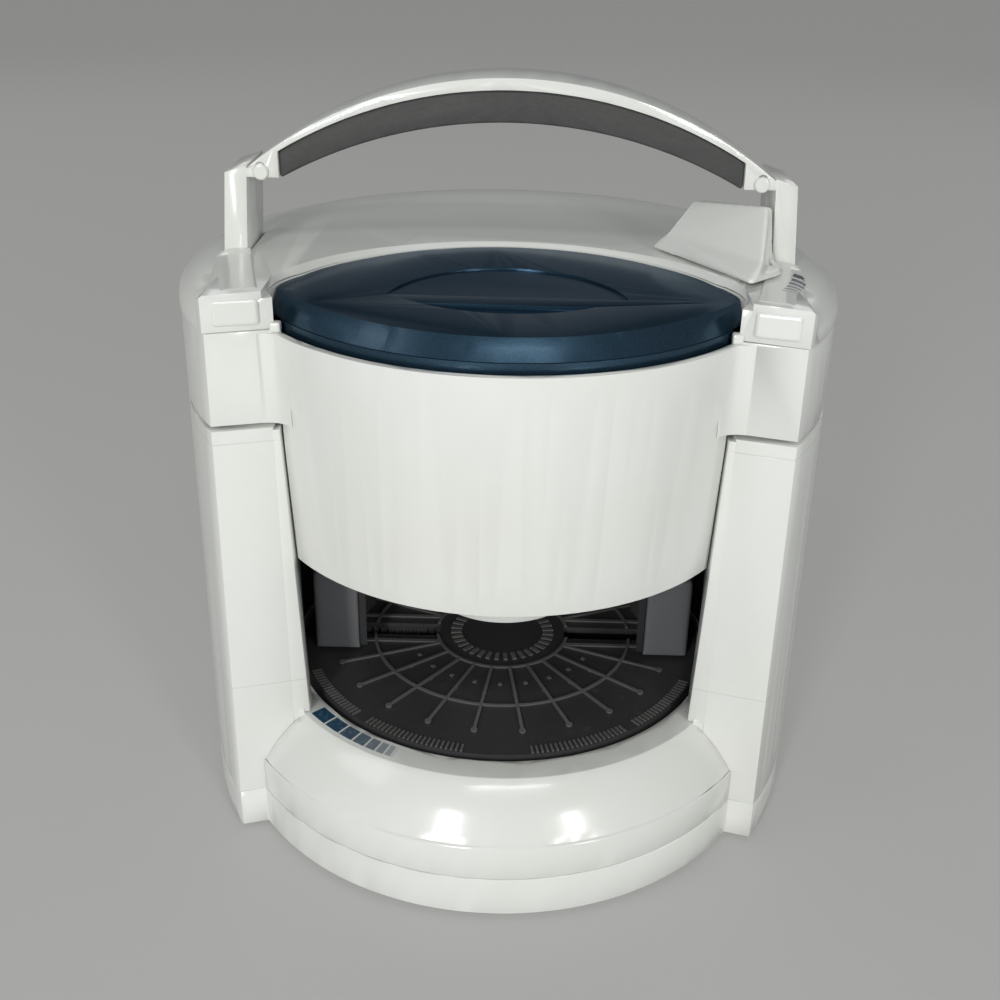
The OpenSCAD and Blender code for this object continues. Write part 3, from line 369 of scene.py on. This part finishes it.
# a sharp moulding never leaves a tool, so every outer case gets a small round on its edges
mouldings = {
    "tower_housing": {"width": 2.0, "segments": 4, "finish": "caseWhite", "body": "base", "share": towerShare},
    "base_pan": {"width": 0.8, "segments": 2, "finish": "panWhite", "body": "base", "share": everyShare},
    "base_housing": {"width": 0.5, "segments": 2, "finish": "drumWhite", "body": "base", "share": everyShare},
    "head_skirt": {"width": 0.9, "segments": 3, "finish": "headWhite", "body": "head", "share": everyShare},
    "head_cover": {"width": 2.0, "segments": 4, "finish": "coverWhite", "body": "head", "share": coverShare,
                   "reach": coverReach},
    "handle": {"width": 1.1, "segments": 3, "finish": "handleWhite", "body": "head", "share": everyShare},
    "power_pad": {"width": 2.6, "segments": 6, "finish": "padBlue", "body": "pad", "share": padShare,
                  "reach": padReach},
    "grip": {"width": 1.2, "segments": 4, "finish": "gripRubber", "body": "head", "share": everyShare},
}


mergeGap, springGap = 3e-6, 2e-6  # metres
flatTurn, edgeTurn, sharpTurn = 0.5, 34, 40  # degrees


def mergedCopy(node, gap=mergeGap):
    bm = bmesh.new()
    bm.from_mesh(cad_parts[node].data)
    bmesh.ops.remove_doubles(bm, verts=bm.verts, dist=gap)
    return bm


def standIn(name, bm):
    piece = bpy.data.objects.new(name, meshFrom(name, bm))
    bpy.context.scene.collection.objects.link(piece)
    return piece


# the finished piece takes the place of its node
def takePlace(piece, node, finish, body):
    piece.data.materials.clear()
    piece.data.materials.append(finishes[finish])
    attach(piece, body)
    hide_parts(node)


def roundedMoulding(node, width, segments, finish, body, share, reach=noReach):
    bm = mergedCopy(node)
    bmesh.ops.dissolve_limit(bm, angle_limit=math.radians(flatTurn), verts=bm.verts, edges=bm.edges)
    bmesh.ops.recalc_face_normals(bm, faces=bm.faces)
    for v in bm.verts:
        reach(v.co)
    weight = bm.edges.layers.float.new("bevel_weight_edge")
    for edge in bm.edges:
        if len(edge.link_faces) == 2:
            turn = edge.calc_face_angle_signed(0)
            if abs(turn) > math.radians(edgeTurn):
                edge[weight] = share((edge.verts[0].co + edge.verts[1].co) / 2, turn)
    piece = standIn(node + "Moulded", bm)
    edge = piece.modifiers.new("edge", "BEVEL")
    edge.width = width * mm
    edge.segments = segments
    edge.limit_method = "WEIGHT"
    edge.use_clamp_overlap = True
    edge.miter_outer = "MITER_ARC"
    edge.harden_normals = True
    bakeModifiers(piece)
    piece.data.polygons.foreach_set("use_smooth", [True] * len(piece.data.polygons))
    piece.data.set_sharp_from_angle(angle=math.radians(sharpTurn))
    takePlace(piece, node, finish, body)
    return piece


for node, settings in mouldings.items():
    piece = roundedMoulding(node, **settings)
    print("moulded", node, len(piece.data.polygons))


# pieces whose whole form is soft: made again from small cells and smoothed where they show
softForms = {
    "release_lever": {"cell": 0.55, "rounds": 16, "finish": "leverWhite", "body": "release", "above": 0.0},
    "lower_jaw_left": {"cell": 0.6, "rounds": 110, "finish": "jawGrey", "body": "low_jaw_left", "above": 52.5},
    "lower_jaw_right": {"cell": 0.6, "rounds": 110, "finish": "jawGrey", "body": "low_jaw_right", "above": 52.5},
}
softFade = {"rise": 1.5, "end": 8.5, "run": 5, "least": 0.1}  # mm, and the least share of smoothing
leverFoot = {"points": ((79.4, -41.4), (81.6, -41.0), (92.6, -29.5), (93.9, -24.5), (93.4, -19.6), (91.0, -16.4),
                        (82, -12)), "low": 215.4, "high": 217.6, "inset": 1.3}


def addFoot(bm):
    f = leverFoot
    centre = Vector((sum(p[0] for p in f["points"]), sum(p[1] for p in f["points"]))) / len(f["points"])
    made = []
    for level, inset in ((f["low"], 0.0), (f["high"], f["inset"])):
        for point in f["points"]:
            place = Vector(point)
            place += (centre - place).normalized() * inset
            made.append(bm.verts.new((place.x * mm, place.y * mm, level * mm)))
    bmesh.ops.convex_hull(bm, input=made)


def softForm(node, cell, rounds, finish, body, above):
    bm = mergedCopy(node)
    if node == "release_lever":
        addFoot(bm)
    piece = standIn(node + "Soft", bm)
    remesh = piece.modifiers.new("cells", "REMESH")
    remesh.mode = "VOXEL"
    remesh.voxel_size = cell * mm
    bakeModifiers(piece)
    group = piece.vertex_groups.new(name="soft")
    reach = max(abs(v.co.y) for v in piece.data.vertices if v.co.z / mm > above) / mm
    fade = softFade
    for v in piece.data.vertices:
        share = min(1.0, (v.co.z / mm - above) / fade["rise"])
        if above:
            share = min(share, (abs(v.co.y) / mm - reach + fade["end"]) / fade["run"])
        group.add([v.index], max(fade["least"], share), "REPLACE")
    smooth = piece.modifiers.new("smooth", "SMOOTH")
    smooth.factor = 0.5
    smooth.iterations = rounds
    smooth.vertex_group = "soft"
    bakeModifiers(piece)
    piece.data.polygons.foreach_set("use_smooth", [True] * len(piece.data.polygons))
    takePlace(piece, node, finish, body)
    print("softened", node, len(piece.data.polygons))


for node, settings in softForms.items():
    softForm(node, **settings)


# each coil spring is copied from its node into a piece of its own on its body
springs = {
    "lid_springs": {"joint": "lid_press", "body": "head", "travel": 26.0, "seat": "top"},
    "pad_springs": {"joint": "pad_press", "body": "head", "travel": 2.5, "seat": "bottom"},
}
for node, spring in springs.items():
    bm = mergedCopy(node, springGap)
    coil = makePiece(node + "Coil", meshFrom(node + "Coil", bm), "brightSteel", spring["body"])
    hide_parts(node)
    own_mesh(coil)


# raised faces on the front corners of the cover, and the little stops beside the pad
cornerFace = {"from": 78.9, "to": 93.4, "low": 203.7, "high": 212.4, "thick": 3.0, "proud": 0.6, "round": 1.3,
              "frontY": -60.0, "lean": 0.29, "start": 75.0}
cornerTab = {"x": (72.7, 76.3), "y": (-60.5, -57.0), "z": (200.9, 204.3), "round": 0.8}
# small feet that close the corner between the pillars' inner returns and the ring
jambFoot = {"x": (73.2, 77.8), "y": (-60.2, -53.6), "z": (46.0, 52.6), "round": 0.5}
# round bosses over the pins at the ends of the handle
pinBoss = {"centre": (85.3, -12.2, 242.4), "radius": 2.7, "depth": 6, "segments": 32, "round": 0.7}


def roundedBlock(low, high, radius, segments=4):
    bm = bmesh.new()
    bmesh.ops.create_cube(bm, size=1.0)
    for v in bm.verts:
        v.co = Vector([(a + b) / 2 * mm + c * (b - a) * mm for a, b, c in zip(low, high, v.co)])
    bmesh.ops.bevel(bm, geom=bm.edges[:], offset=radius * mm, segments=segments, profile=0.5, affect="EDGES")
    return bm


def blockOf(given):
    return roundedBlock(*([given[k][end] for k in "xyz"] for end in (0, 1)), given["round"], 3)


def cornerFaceForm():
    c = cornerFace
    bm = roundedBlock((c["from"], -c["proud"], c["low"]), (c["to"], c["thick"] - c["proud"], c["high"]), c["round"])
    for v in bm.verts:
        v.co.y += (c["frontY"] - (v.co.x / mm - c["start"]) * c["lean"]) * mm
    return bm


def pinBossForm():
    b = pinBoss
    bm = bmesh.new()
    place = Matrix.Translation([c * mm for c in b["centre"]]) @ Matrix.Rotation(math.pi / 2, 4, "X")
    bmesh.ops.create_cone(bm, cap_ends=True, segments=b["segments"], radius1=b["radius"] * mm, radius2=b["radius"] * mm,
                          depth=b["depth"] * mm, matrix=place)
    rims = [e for e in bm.edges if len(e.link_faces) == 2 and e.calc_face_angle() > 1]
    bmesh.ops.bevel(bm, geom=rims, offset=b["round"] * mm, segments=4, profile=0.5, affect="EDGES")
    return bm


# the cover rises from each front corner block to the foot of the handle post
deckLine = ((0, 213.5), (40, 213.8), (65, 214.4), (80, 214.7), (90, 214.7), (97, 214.4), (104, 213.7), (110, 212.3),
            (114.5, 209.7))
postRamp = {
    "rows": 26, "columns": 12, "bunch": 1.3, "thick": 2.6, "round": 0.9,
    "frontInner": 79.2, "frontOuter": 97.0, "backInner": 90.3, "backOuter": 104.5,
    "front": -58.5, "back": -14.2, "lean": 0.29, "level": 214.9,
    "settle": (-38, 20), "deckLift": 0.6, "foot": (-20, 6), "footLift": 0.9,
    "fade": (0.5, 0.5), "sink": (0.8, 0.2), "sinkDepth": 0.3, "dip": 0.035, "dipDepth": 0.6,
}


def deckHeight(radius):
    for (r0, z0), (r1, z1) in zip(deckLine, deckLine[1:]):
        if radius <= r1:
            return z0 + (z1 - z0) * (radius - r0) / (r1 - r0)
    return deckLine[-1][1]


def smoothStep(share):
    share = max(0.0, min(1.0, share))
    return share * share * (3 - 2 * share)


def step(value, span):
    return smoothStep((value - span[0]) / span[1])


# a point of the ramp's top: u runs from its inner to its outer edge, v from the front to the post
def rampPoint(u, v):
    r = postRamp
    inner = r["frontInner"] * (1 - v) + r["backInner"] * v
    outer = r["frontOuter"] * (1 - v) + r["backOuter"] * v
    x = inner + (outer - inner) * u
    y = r["front"] - (x - r["frontInner"]) * r["lean"] * (1 - v) ** 2 + (r["back"] - r["front"]) * v
    deck = deckHeight(math.hypot(x, y))
    settle = step(y, r["settle"])
    lift = (r["level"] - deck) * (1 - settle) + r["deckLift"] * settle + r["footLift"] * step(y, r["foot"])
    z = deck + lift * (1 - step(u, r["fade"])) - r["sinkDepth"] * step(u, r["sink"])
    return x, y, z - r["dipDepth"] * smoothStep(1 - v / r["dip"])


def postRampForm():
    r = postRamp
    columns, rows = range(r["columns"] + 1), range(r["rows"] + 1)
    bm = bmesh.new()
    grid = [[bm.verts.new([c * mm for c in rampPoint(i / r["columns"], (j / r["rows"]) ** r["bunch"])]) for j in rows]
            for i in columns]
    for i in columns[:-1]:
        for j in rows[:-1]:
            bm.faces.new((grid[i][j], grid[i + 1][j], grid[i + 1][j + 1], grid[i][j + 1]))
    inner = set(grid[0])
    bmesh.ops.recalc_face_normals(bm, faces=bm.faces)
    for item in bmesh.ops.extrude_face_region(bm, geom=bm.faces[:])["geom"]:
        if isinstance(item, bmesh.types.BMVert):
            item.co.z -= r["thick"] * mm
    bmesh.ops.recalc_face_normals(bm, faces=bm.faces)
    edges = [e for e in bm.edges if all(v in inner for v in e.verts)]
    bmesh.ops.bevel(bm, geom=edges, offset=r["round"] * mm, segments=4, profile=0.5, affect="EDGES")
    return bm


# one piece for each side: the form is the right-hand one
def makePair(name, form, finish, body):
    for side, word in ((-1, "Left"), (1, "Right")):
        bm = form()
        for v in bm.verts:
            v.co.x *= side
        bmesh.ops.recalc_face_normals(bm, faces=bm.faces)
        makePiece(name + word, meshFrom(name + word, bm), finish, body)


makePair("cornerFace", cornerFaceForm, "coverWhite", "head")
makePair("cornerTab", lambda: blockOf(cornerTab), "headWhite", "head")
makePair("jambFoot", lambda: blockOf(jambFoot), "caseWhite", "base")
makePair("postRamp", postRampForm, "coverWhite", "head")
makePair("pinBoss", pinBossForm, "handleWhite", "head")


# short stripes beside the lever that fade away from the way it turns
releaseMarks = {"at": ((99.7, -26.3), (97.9, -32.6), (96.1, -37.2), (94.5, -40.9), (93.1, -43.8), (91.9, -46.2)),
                "depth": (4.2, 3.1, 2.3, 1.6, 1.1, 0.8), "wide": 5.0, "turn": -22.5, "lift": 0.07, "thick": 0.2,
                "fade": 0.8, "near": 0.5}
rampGrid = [rampPoint(i / 30, j / 80) for i in range(31) for j in range(81)]


def printedFinish(name, grain, wear, dark, pale, share, rough):
    s = Shader(name)
    tone = tuple(a + (b - a) * share for a, b in zip(dark, pale))
    worn = s.remap(s.noise(grain, 4, 0.7), 0.55, 0.75, 0.0, wear)
    s.set(Base_Color=s.mix(worn, tone, (0.5, 0.51, 0.5)), Roughness=rough)
    return s.material


# height of the ramp under a point of the deck, taken from the nearest point of its grid
def rampHeight(place):
    near = min(((x - place.x) ** 2 + (y - place.y) ** 2, z) for x, y, z in rampGrid)
    return near[1] if near[0] < releaseMarks["near"] else deckHeight(place.length)


def makeMarks():
    m = releaseMarks
    turns = (math.radians(m["turn"]), math.radians(m["turn"] + 90))
    along, across = (Vector((math.cos(a), math.sin(a))) for a in turns)
    last = len(m["at"]) - 1
    for number, (centre, depth) in enumerate(zip(m["at"], m["depth"])):
        bm = bmesh.new()
        bmesh.ops.create_grid(bm, x_segments=8, y_segments=3, size=0.5)
        for v in bm.verts:
            place = Vector(centre) + along * v.co.x * m["wide"] + across * v.co.y * depth
            v.co = Vector((place.x, place.y, rampHeight(place) + m["lift"])) * mm
        bmesh.ops.solidify(bm, geom=bm.faces[:], thickness=m["thick"] * mm)
        bmesh.ops.recalc_face_normals(bm, faces=bm.faces)
        finishes["mark"] = printedFinish("markBlue%d" % number, 900, 0.35, (0.020, 0.030, 0.050), (0.36, 0.37, 0.38),
                                         (number / last) ** m["fade"], 0.4)
        makePiece("releaseMark%d" % number, meshFrom("releaseMark%d" % number, bm), "mark", "head")


makeMarks()
print("cover details made")


# repeated small forms
# one tree for everything that stands in a fan round the platter axis
def fanTree(name, finish):
    tree = bpy.data.node_groups.new(name, "GeometryNodeTree")
    sizes = {"Count": ("NodeSocketInt", 10), "Radius": ("NodeSocketFloat", 0.05), "Start": ("NodeSocketFloat", 0.0),
             "Step": ("NodeSocketFloat", 0.1), "Length": ("NodeSocketFloat", 0.01), "Width": ("NodeSocketFloat", 0.001),
             "Height": ("NodeSocketFloat", 0.001), "Level": ("NodeSocketFloat", 0.05)}
    for key, (kind, value) in sizes.items():
        tree.interface.new_socket(key, in_out="INPUT", socket_type=kind).default_value = value
    tree.interface.new_socket("Geometry", in_out="OUTPUT", socket_type="NodeSocketGeometry")
    add, link = tree.nodes.new, tree.links.new
    given = add("NodeGroupInput").outputs
    points = add("GeometryNodePoints")
    link(given["Count"], points.inputs["Count"])
    index = add("GeometryNodeInputIndex").outputs[0]

    def calc(kind, a, b):
        made = add("ShaderNodeMath")
        made.operation = kind
        for socket, value in zip(made.inputs, (a, b)):
            if isinstance(value, (int, float)):
                socket.default_value = value
            else:
                link(value, socket)
        return made.outputs[0]

    angle = calc("ADD", calc("MULTIPLY", index, given["Step"]), given["Start"])
    place = add("ShaderNodeCombineXYZ")
    link(calc("MULTIPLY", calc("COSINE", angle, 0), given["Radius"]), place.inputs[0])
    link(calc("MULTIPLY", calc("SINE", angle, 0), given["Radius"]), place.inputs[1])
    link(given["Level"], place.inputs[2])
    link(place.outputs[0], points.inputs["Position"])
    turn = add("ShaderNodeCombineXYZ")
    link(angle, turn.inputs[2])
    size = add("ShaderNodeCombineXYZ")
    for socket, key in zip(size.inputs, ("Length", "Width", "Height")):
        link(given[key], socket)
    bar = add("GeometryNodeMeshCube")
    link(size.outputs[0], bar.inputs["Size"])
    spread = add("GeometryNodeInstanceOnPoints")
    link(points.outputs[0], spread.inputs["Points"])
    link(bar.outputs["Mesh"], spread.inputs["Instance"])
    link(turn.outputs[0], spread.inputs["Rotation"])
    real = add("GeometryNodeRealizeInstances")
    link(spread.outputs[0], real.inputs[0])
    paint = add("GeometryNodeSetMaterial")
    paint.inputs["Material"].default_value = finishes[finish]
    link(real.outputs[0], paint.inputs[0])
    link(paint.outputs[0], add("NodeGroupOutput").inputs[0])
    return tree


def runTree(name, tree, values, body):
    piece = bpy.data.objects.new(name, bpy.data.meshes.new(name))
    bpy.context.scene.collection.objects.link(piece)
    modifier = piece.modifiers.new("form", "NODES")
    modifier.node_group = tree
    ids = {item.name: item.identifier for item in tree.interface.items_tree if item.in_out == "INPUT"}
    for key, value in values.items():
        modifier[ids[key]] = value
    bakeModifiers(piece)
    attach(piece, body)


# fine ribs of the platter: measured round the rim in groups, with plain stretches between
rimTicks = {
    "groups": ((-127, -98), (-81, -54), (-50, -24), (-156, -131), (54, 81), (98, 127), (24, 50), (131, 156)),
    "step": 1.32, "inner": 78.0, "outer": 81.9, "width": 0.75, "height": 0.8,
}
hubTicks = {"count": 36, "inner": 17.0, "outer": 21.6, "width": 1.6, "height": 0.9}
fan = fanTree("platterFan", "ribGrey")
plateTop, ribRise = 51.2, 0.15
level = (plateTop + ribRise) * mm  # the middle height of every rib and stud
for number, (first, last) in enumerate(rimTicks["groups"]):
    runTree("rimTicks%d" % number, fan, {
        "Count": int((last - first) / rimTicks["step"]) + 1, "Start": math.radians(first),
        "Step": math.radians(rimTicks["step"]), "Radius": (rimTicks["inner"] + rimTicks["outer"]) / 2 * mm,
        "Length": (rimTicks["outer"] - rimTicks["inner"]) * mm, "Width": rimTicks["width"] * mm,
        "Height": rimTicks["height"] * mm, "Level": level}, "turntable")
hubStep = 360 / hubTicks["count"]
runTree("hubTicks", fan, {
    "Count": hubTicks["count"], "Start": math.radians(hubStep / 2), "Step": math.radians(hubStep),
    "Radius": (hubTicks["inner"] + hubTicks["outer"]) / 2 * mm, "Length": (hubTicks["outer"] - hubTicks["inner"]) * mm,
    "Width": hubTicks["width"] * mm, "Height": hubTicks["height"] * mm, "Level": level}, "turntable")
studs = {"rows": ((38.5, -150, -30), (45.5, -142.5, -37.5), (38.5, 30, 150), (45.5, 37.5, 142.5)),
         "step": 15, "side": 1.5, "height": 0.7}
for number, (radius, first, last) in enumerate(studs["rows"]):
    runTree("studs%d" % number, fan, {
        "Count": int((last - first) / studs["step"]) + 1, "Start": math.radians(first),
        "Step": math.radians(studs["step"]), "Radius": radius * mm, "Length": studs["side"] * mm,
        "Width": studs["side"] * mm, "Height": studs["height"] * mm, "Level": level}, "turntable")
print("platter ribs made")


# direction bars on the ring
# seven slanted bars that fade away in the direction the platter turns
directionBars = {"start": 220.0, "widths": (5.0, 4.4, 3.7, 3.1, 2.4, 1.8, 1.3), "gap": 0.55, "inner": 86.5,
                 "outer": 92.6, "slant": 0.5, "lift": 0.12, "fade": 2.0}
barGround = {"before": 0.8, "wider": 1.2, "beyond": 0.5, "lift": 0.05, "rows": 4, "columns": 24}
ring = {"outer": 94.8, "inner": 87.5, "top": 50.9, "fall": 0.5, "seat": 0.04, "sunk": -0.12}


def ringHeight(radius):
    return ring["top"] - ring["fall"] * (ring["outer"] - radius) / (ring["outer"] - ring["inner"]) + ring["seat"]


# one printed patch that lies on the ring between two radii and two angles
def ringPatch(first, wide, inner, outer, slant, lift, rows=4, columns=5):
    bm = bmesh.new()
    grid = []
    for i in range(columns + 1):
        line = []
        for j in range(rows + 1):
            radius = inner + (outer - inner) * j / rows
            angle = math.radians(first + wide * i / columns + slant * (j / rows - 0.5))
            x, y, top = radius * math.cos(angle), radius * math.sin(angle), ringHeight(radius)
            line.append([bm.verts.new((x * mm, y * mm, (top + z) * mm)) for z in (lift, ring["sunk"])])
        grid.append(line)
    for i in range(columns):
        for j in range(rows):
            bm.faces.new([grid[i][j][0], grid[i][j + 1][0], grid[i + 1][j + 1][0], grid[i + 1][j][0]])
            bm.faces.new([grid[i][j][1], grid[i + 1][j][1], grid[i + 1][j + 1][1], grid[i][j + 1][1]])
    edges = [grid[i][0] for i in range(columns + 1)] + [grid[columns][j] for j in range(1, rows + 1)]
    edges += [grid[i][rows] for i in range(columns - 1, -1, -1)] + [grid[0][j] for j in range(rows - 1, 0, -1)]
    for a, b in zip(edges, edges[1:] + edges[:1]):
        bm.faces.new((a[0], b[0], b[1], a[1]))
    bmesh.ops.recalc_face_normals(bm, faces=bm.faces)
    return bm


def makeBars():
    d, g = directionBars, barGround
    first = d["start"]
    last = len(d["widths"]) - 1
    for number, wide in enumerate(d["widths"]):
        bm = ringPatch(first, wide, d["inner"], d["outer"], d["slant"], d["lift"])
        finishes["bar"] = printedFinish("barBlue%d" % number, 700, 0.5, (0.010, 0.060, 0.115), (0.42, 0.45, 0.46),
                                        (number / last) ** d["fade"], 0.38)
        makePiece("directionBar%d" % number, meshFrom("directionBar%d" % number, bm), "bar", "base")
        first += wide + d["gap"]
    ground = ringPatch(d["start"] - g["before"], first - d["start"] + g["wider"], d["inner"] - g["beyond"],
                       d["outer"] + g["beyond"], 0, g["lift"], g["rows"], g["columns"])
    makePiece("barGround", meshFrom("barGround", ground), "plateWhite", "base")


makeBars()
print("direction bars made")


# studio
studio = {
    "cameraAt": (0.0044, -0.4288, 0.3263), "yaw": 0.05, "pitch": 26.56, "roll": 1.5,
    "lens": 43.2, "sensor": 36, "shift": (-0.0169, 0.0029), "clip": (0.01, 60),
    "floorSize": 15, "floorTone": (0.60, 0.597, 0.585), "floorMottle": 0.985, "floorGlow": (0.37, 0.368, 0.36),
    "floorGlowShare": 0.5, "worldLit": ((0.96, 0.98, 1.0), 0.22), "worldSeen": ((1, 0.995, 0.985), 0.55),
}
lamps = {
    "leftStrip": {"at": (-0.47, -1.42, 0.56), "aim": (0, 0, 0.12), "size": (0.18, 0.6), "power": 9.6},
    "rightStrip": {"at": (0.80, -1.42, 0.56), "aim": (0, 0, 0.12), "size": (0.18, 0.6), "power": 7.0},
    "highSoftbox": {"at": (0.10, -0.95, 1.22), "aim": (0, -0.05, 0.2), "size": (0.7, 0.12), "power": 2.4},
    "leftSoftbox": {"at": (-1.0, -0.5, 0.95), "aim": (0, 0, 0.15), "size": (0.5, 0.5), "power": 1.5},
    "topSoftbox": {"at": (0.1, 0.2, 1.5), "aim": (0, 0, 0.1), "size": (1.2, 1.2), "power": 0.3},
    "backLeft": {"at": (-1.2, 1.6, 1.25), "aim": (0, 0, 0.12), "size": (0.9, 0.7), "power": 3.0},
    "backRight": {"at": (1.2, 1.6, 1.25), "aim": (0, 0, 0.12), "size": (0.9, 0.7), "power": 2.6},
}


def makeCamera():
    yaw, pitch, roll = (math.radians(studio[k]) for k in ("yaw", "pitch", "roll"))
    forward = Vector((math.sin(yaw) * math.cos(pitch), math.cos(yaw) * math.cos(pitch), -math.sin(pitch)))
    right = Vector((math.cos(yaw), -math.sin(yaw), 0))
    up = right.cross(forward)
    r = right * math.cos(roll) + up * math.sin(roll)
    u = -right * math.sin(roll) + up * math.cos(roll)
    data = bpy.data.cameras.new("photoCamera")
    data.lens = studio["lens"]
    data.sensor_width = studio["sensor"]
    data.shift_x, data.shift_y = studio["shift"]
    data.clip_start, data.clip_end = studio["clip"]
    camera = bpy.data.objects.new("photoCamera", data)
    bpy.context.scene.collection.objects.link(camera)
    camera.matrix_world = Matrix.Translation(studio["cameraAt"]) @ Matrix((r, u, -forward)).transposed().to_4x4()
    bpy.context.scene.camera = camera


def softLight(name, at, aim, size, power):
    data = bpy.data.lights.new(name, "AREA")
    data.shape = "RECTANGLE"
    data.size, data.size_y = size
    data.energy = power
    lamp = bpy.data.objects.new(name, data)
    bpy.context.scene.collection.objects.link(lamp)
    direction = Vector(aim) - Vector(at)
    lamp.matrix_world = Matrix.Translation(at) @ direction.to_track_quat("-Z", "Y").to_matrix().to_4x4()


def makeFloor():
    mesh = bpy.data.meshes.new("floor")
    bm = bmesh.new()
    bmesh.ops.create_grid(bm, x_segments=1, y_segments=1, size=studio["floorSize"])
    bm.to_mesh(mesh)
    bm.free()
    floor = bpy.data.objects.new("floor", mesh)
    bpy.context.scene.collection.objects.link(floor)
    s = Shader("paleFloor")
    tone = studio["floorTone"]
    shade = tuple(c * studio["floorMottle"] for c in tone)
    s.set(Base_Color=s.mix(s.noise(6, 3), tone, shade), Roughness=0.6)
    glow = s.node("ShaderNodeEmission")
    glow.inputs["Color"].default_value = studio["floorGlow"] + (1,)
    seen = s.node("ShaderNodeLightPath").outputs
    direct = s.math("MAXIMUM", seen["Is Camera Ray"], seen["Is Glossy Ray"])
    share = s.math("MULTIPLY", direct, studio["floorGlowShare"])
    blend = s.node("ShaderNodeMixShader")
    out = next(n for n in s.material.node_tree.nodes if n.type == "OUTPUT_MATERIAL")
    s.link(share, blend.inputs[0])
    s.link(s.bsdf.outputs[0], blend.inputs[1])
    s.link(glow.outputs[0], blend.inputs[2])
    s.link(blend.outputs[0], out.inputs[0])
    mesh.materials.append(s.material)


# dimmer as a source of light than as the background the camera sees
def makeWorld():
    world = bpy.data.worlds.new("paleWorld")
    bpy.context.scene.world = world
    world.use_nodes = True
    nodes, link = world.node_tree.nodes, world.node_tree.links.new
    nodes.clear()
    out = nodes.new("ShaderNodeOutputWorld")
    choose = nodes.new("ShaderNodeMixShader")
    link(nodes.new("ShaderNodeLightPath").outputs["Is Camera Ray"], choose.inputs[0])
    for socket, (tone, power) in zip(choose.inputs[1:], (studio["worldLit"], studio["worldSeen"])):
        shade = nodes.new("ShaderNodeBackground")
        shade.inputs[0].default_value = tone + (1,)
        shade.inputs[1].default_value = power
        link(shade.outputs[0], socket)
    link(choose.outputs[0], out.inputs[0])


makeWorld()
makeCamera()
makeFloor()
for name, lamp in lamps.items():
    softLight(name, **lamp)
bpy.context.scene.view_settings.view_transform = "Standard"
print("studio made")
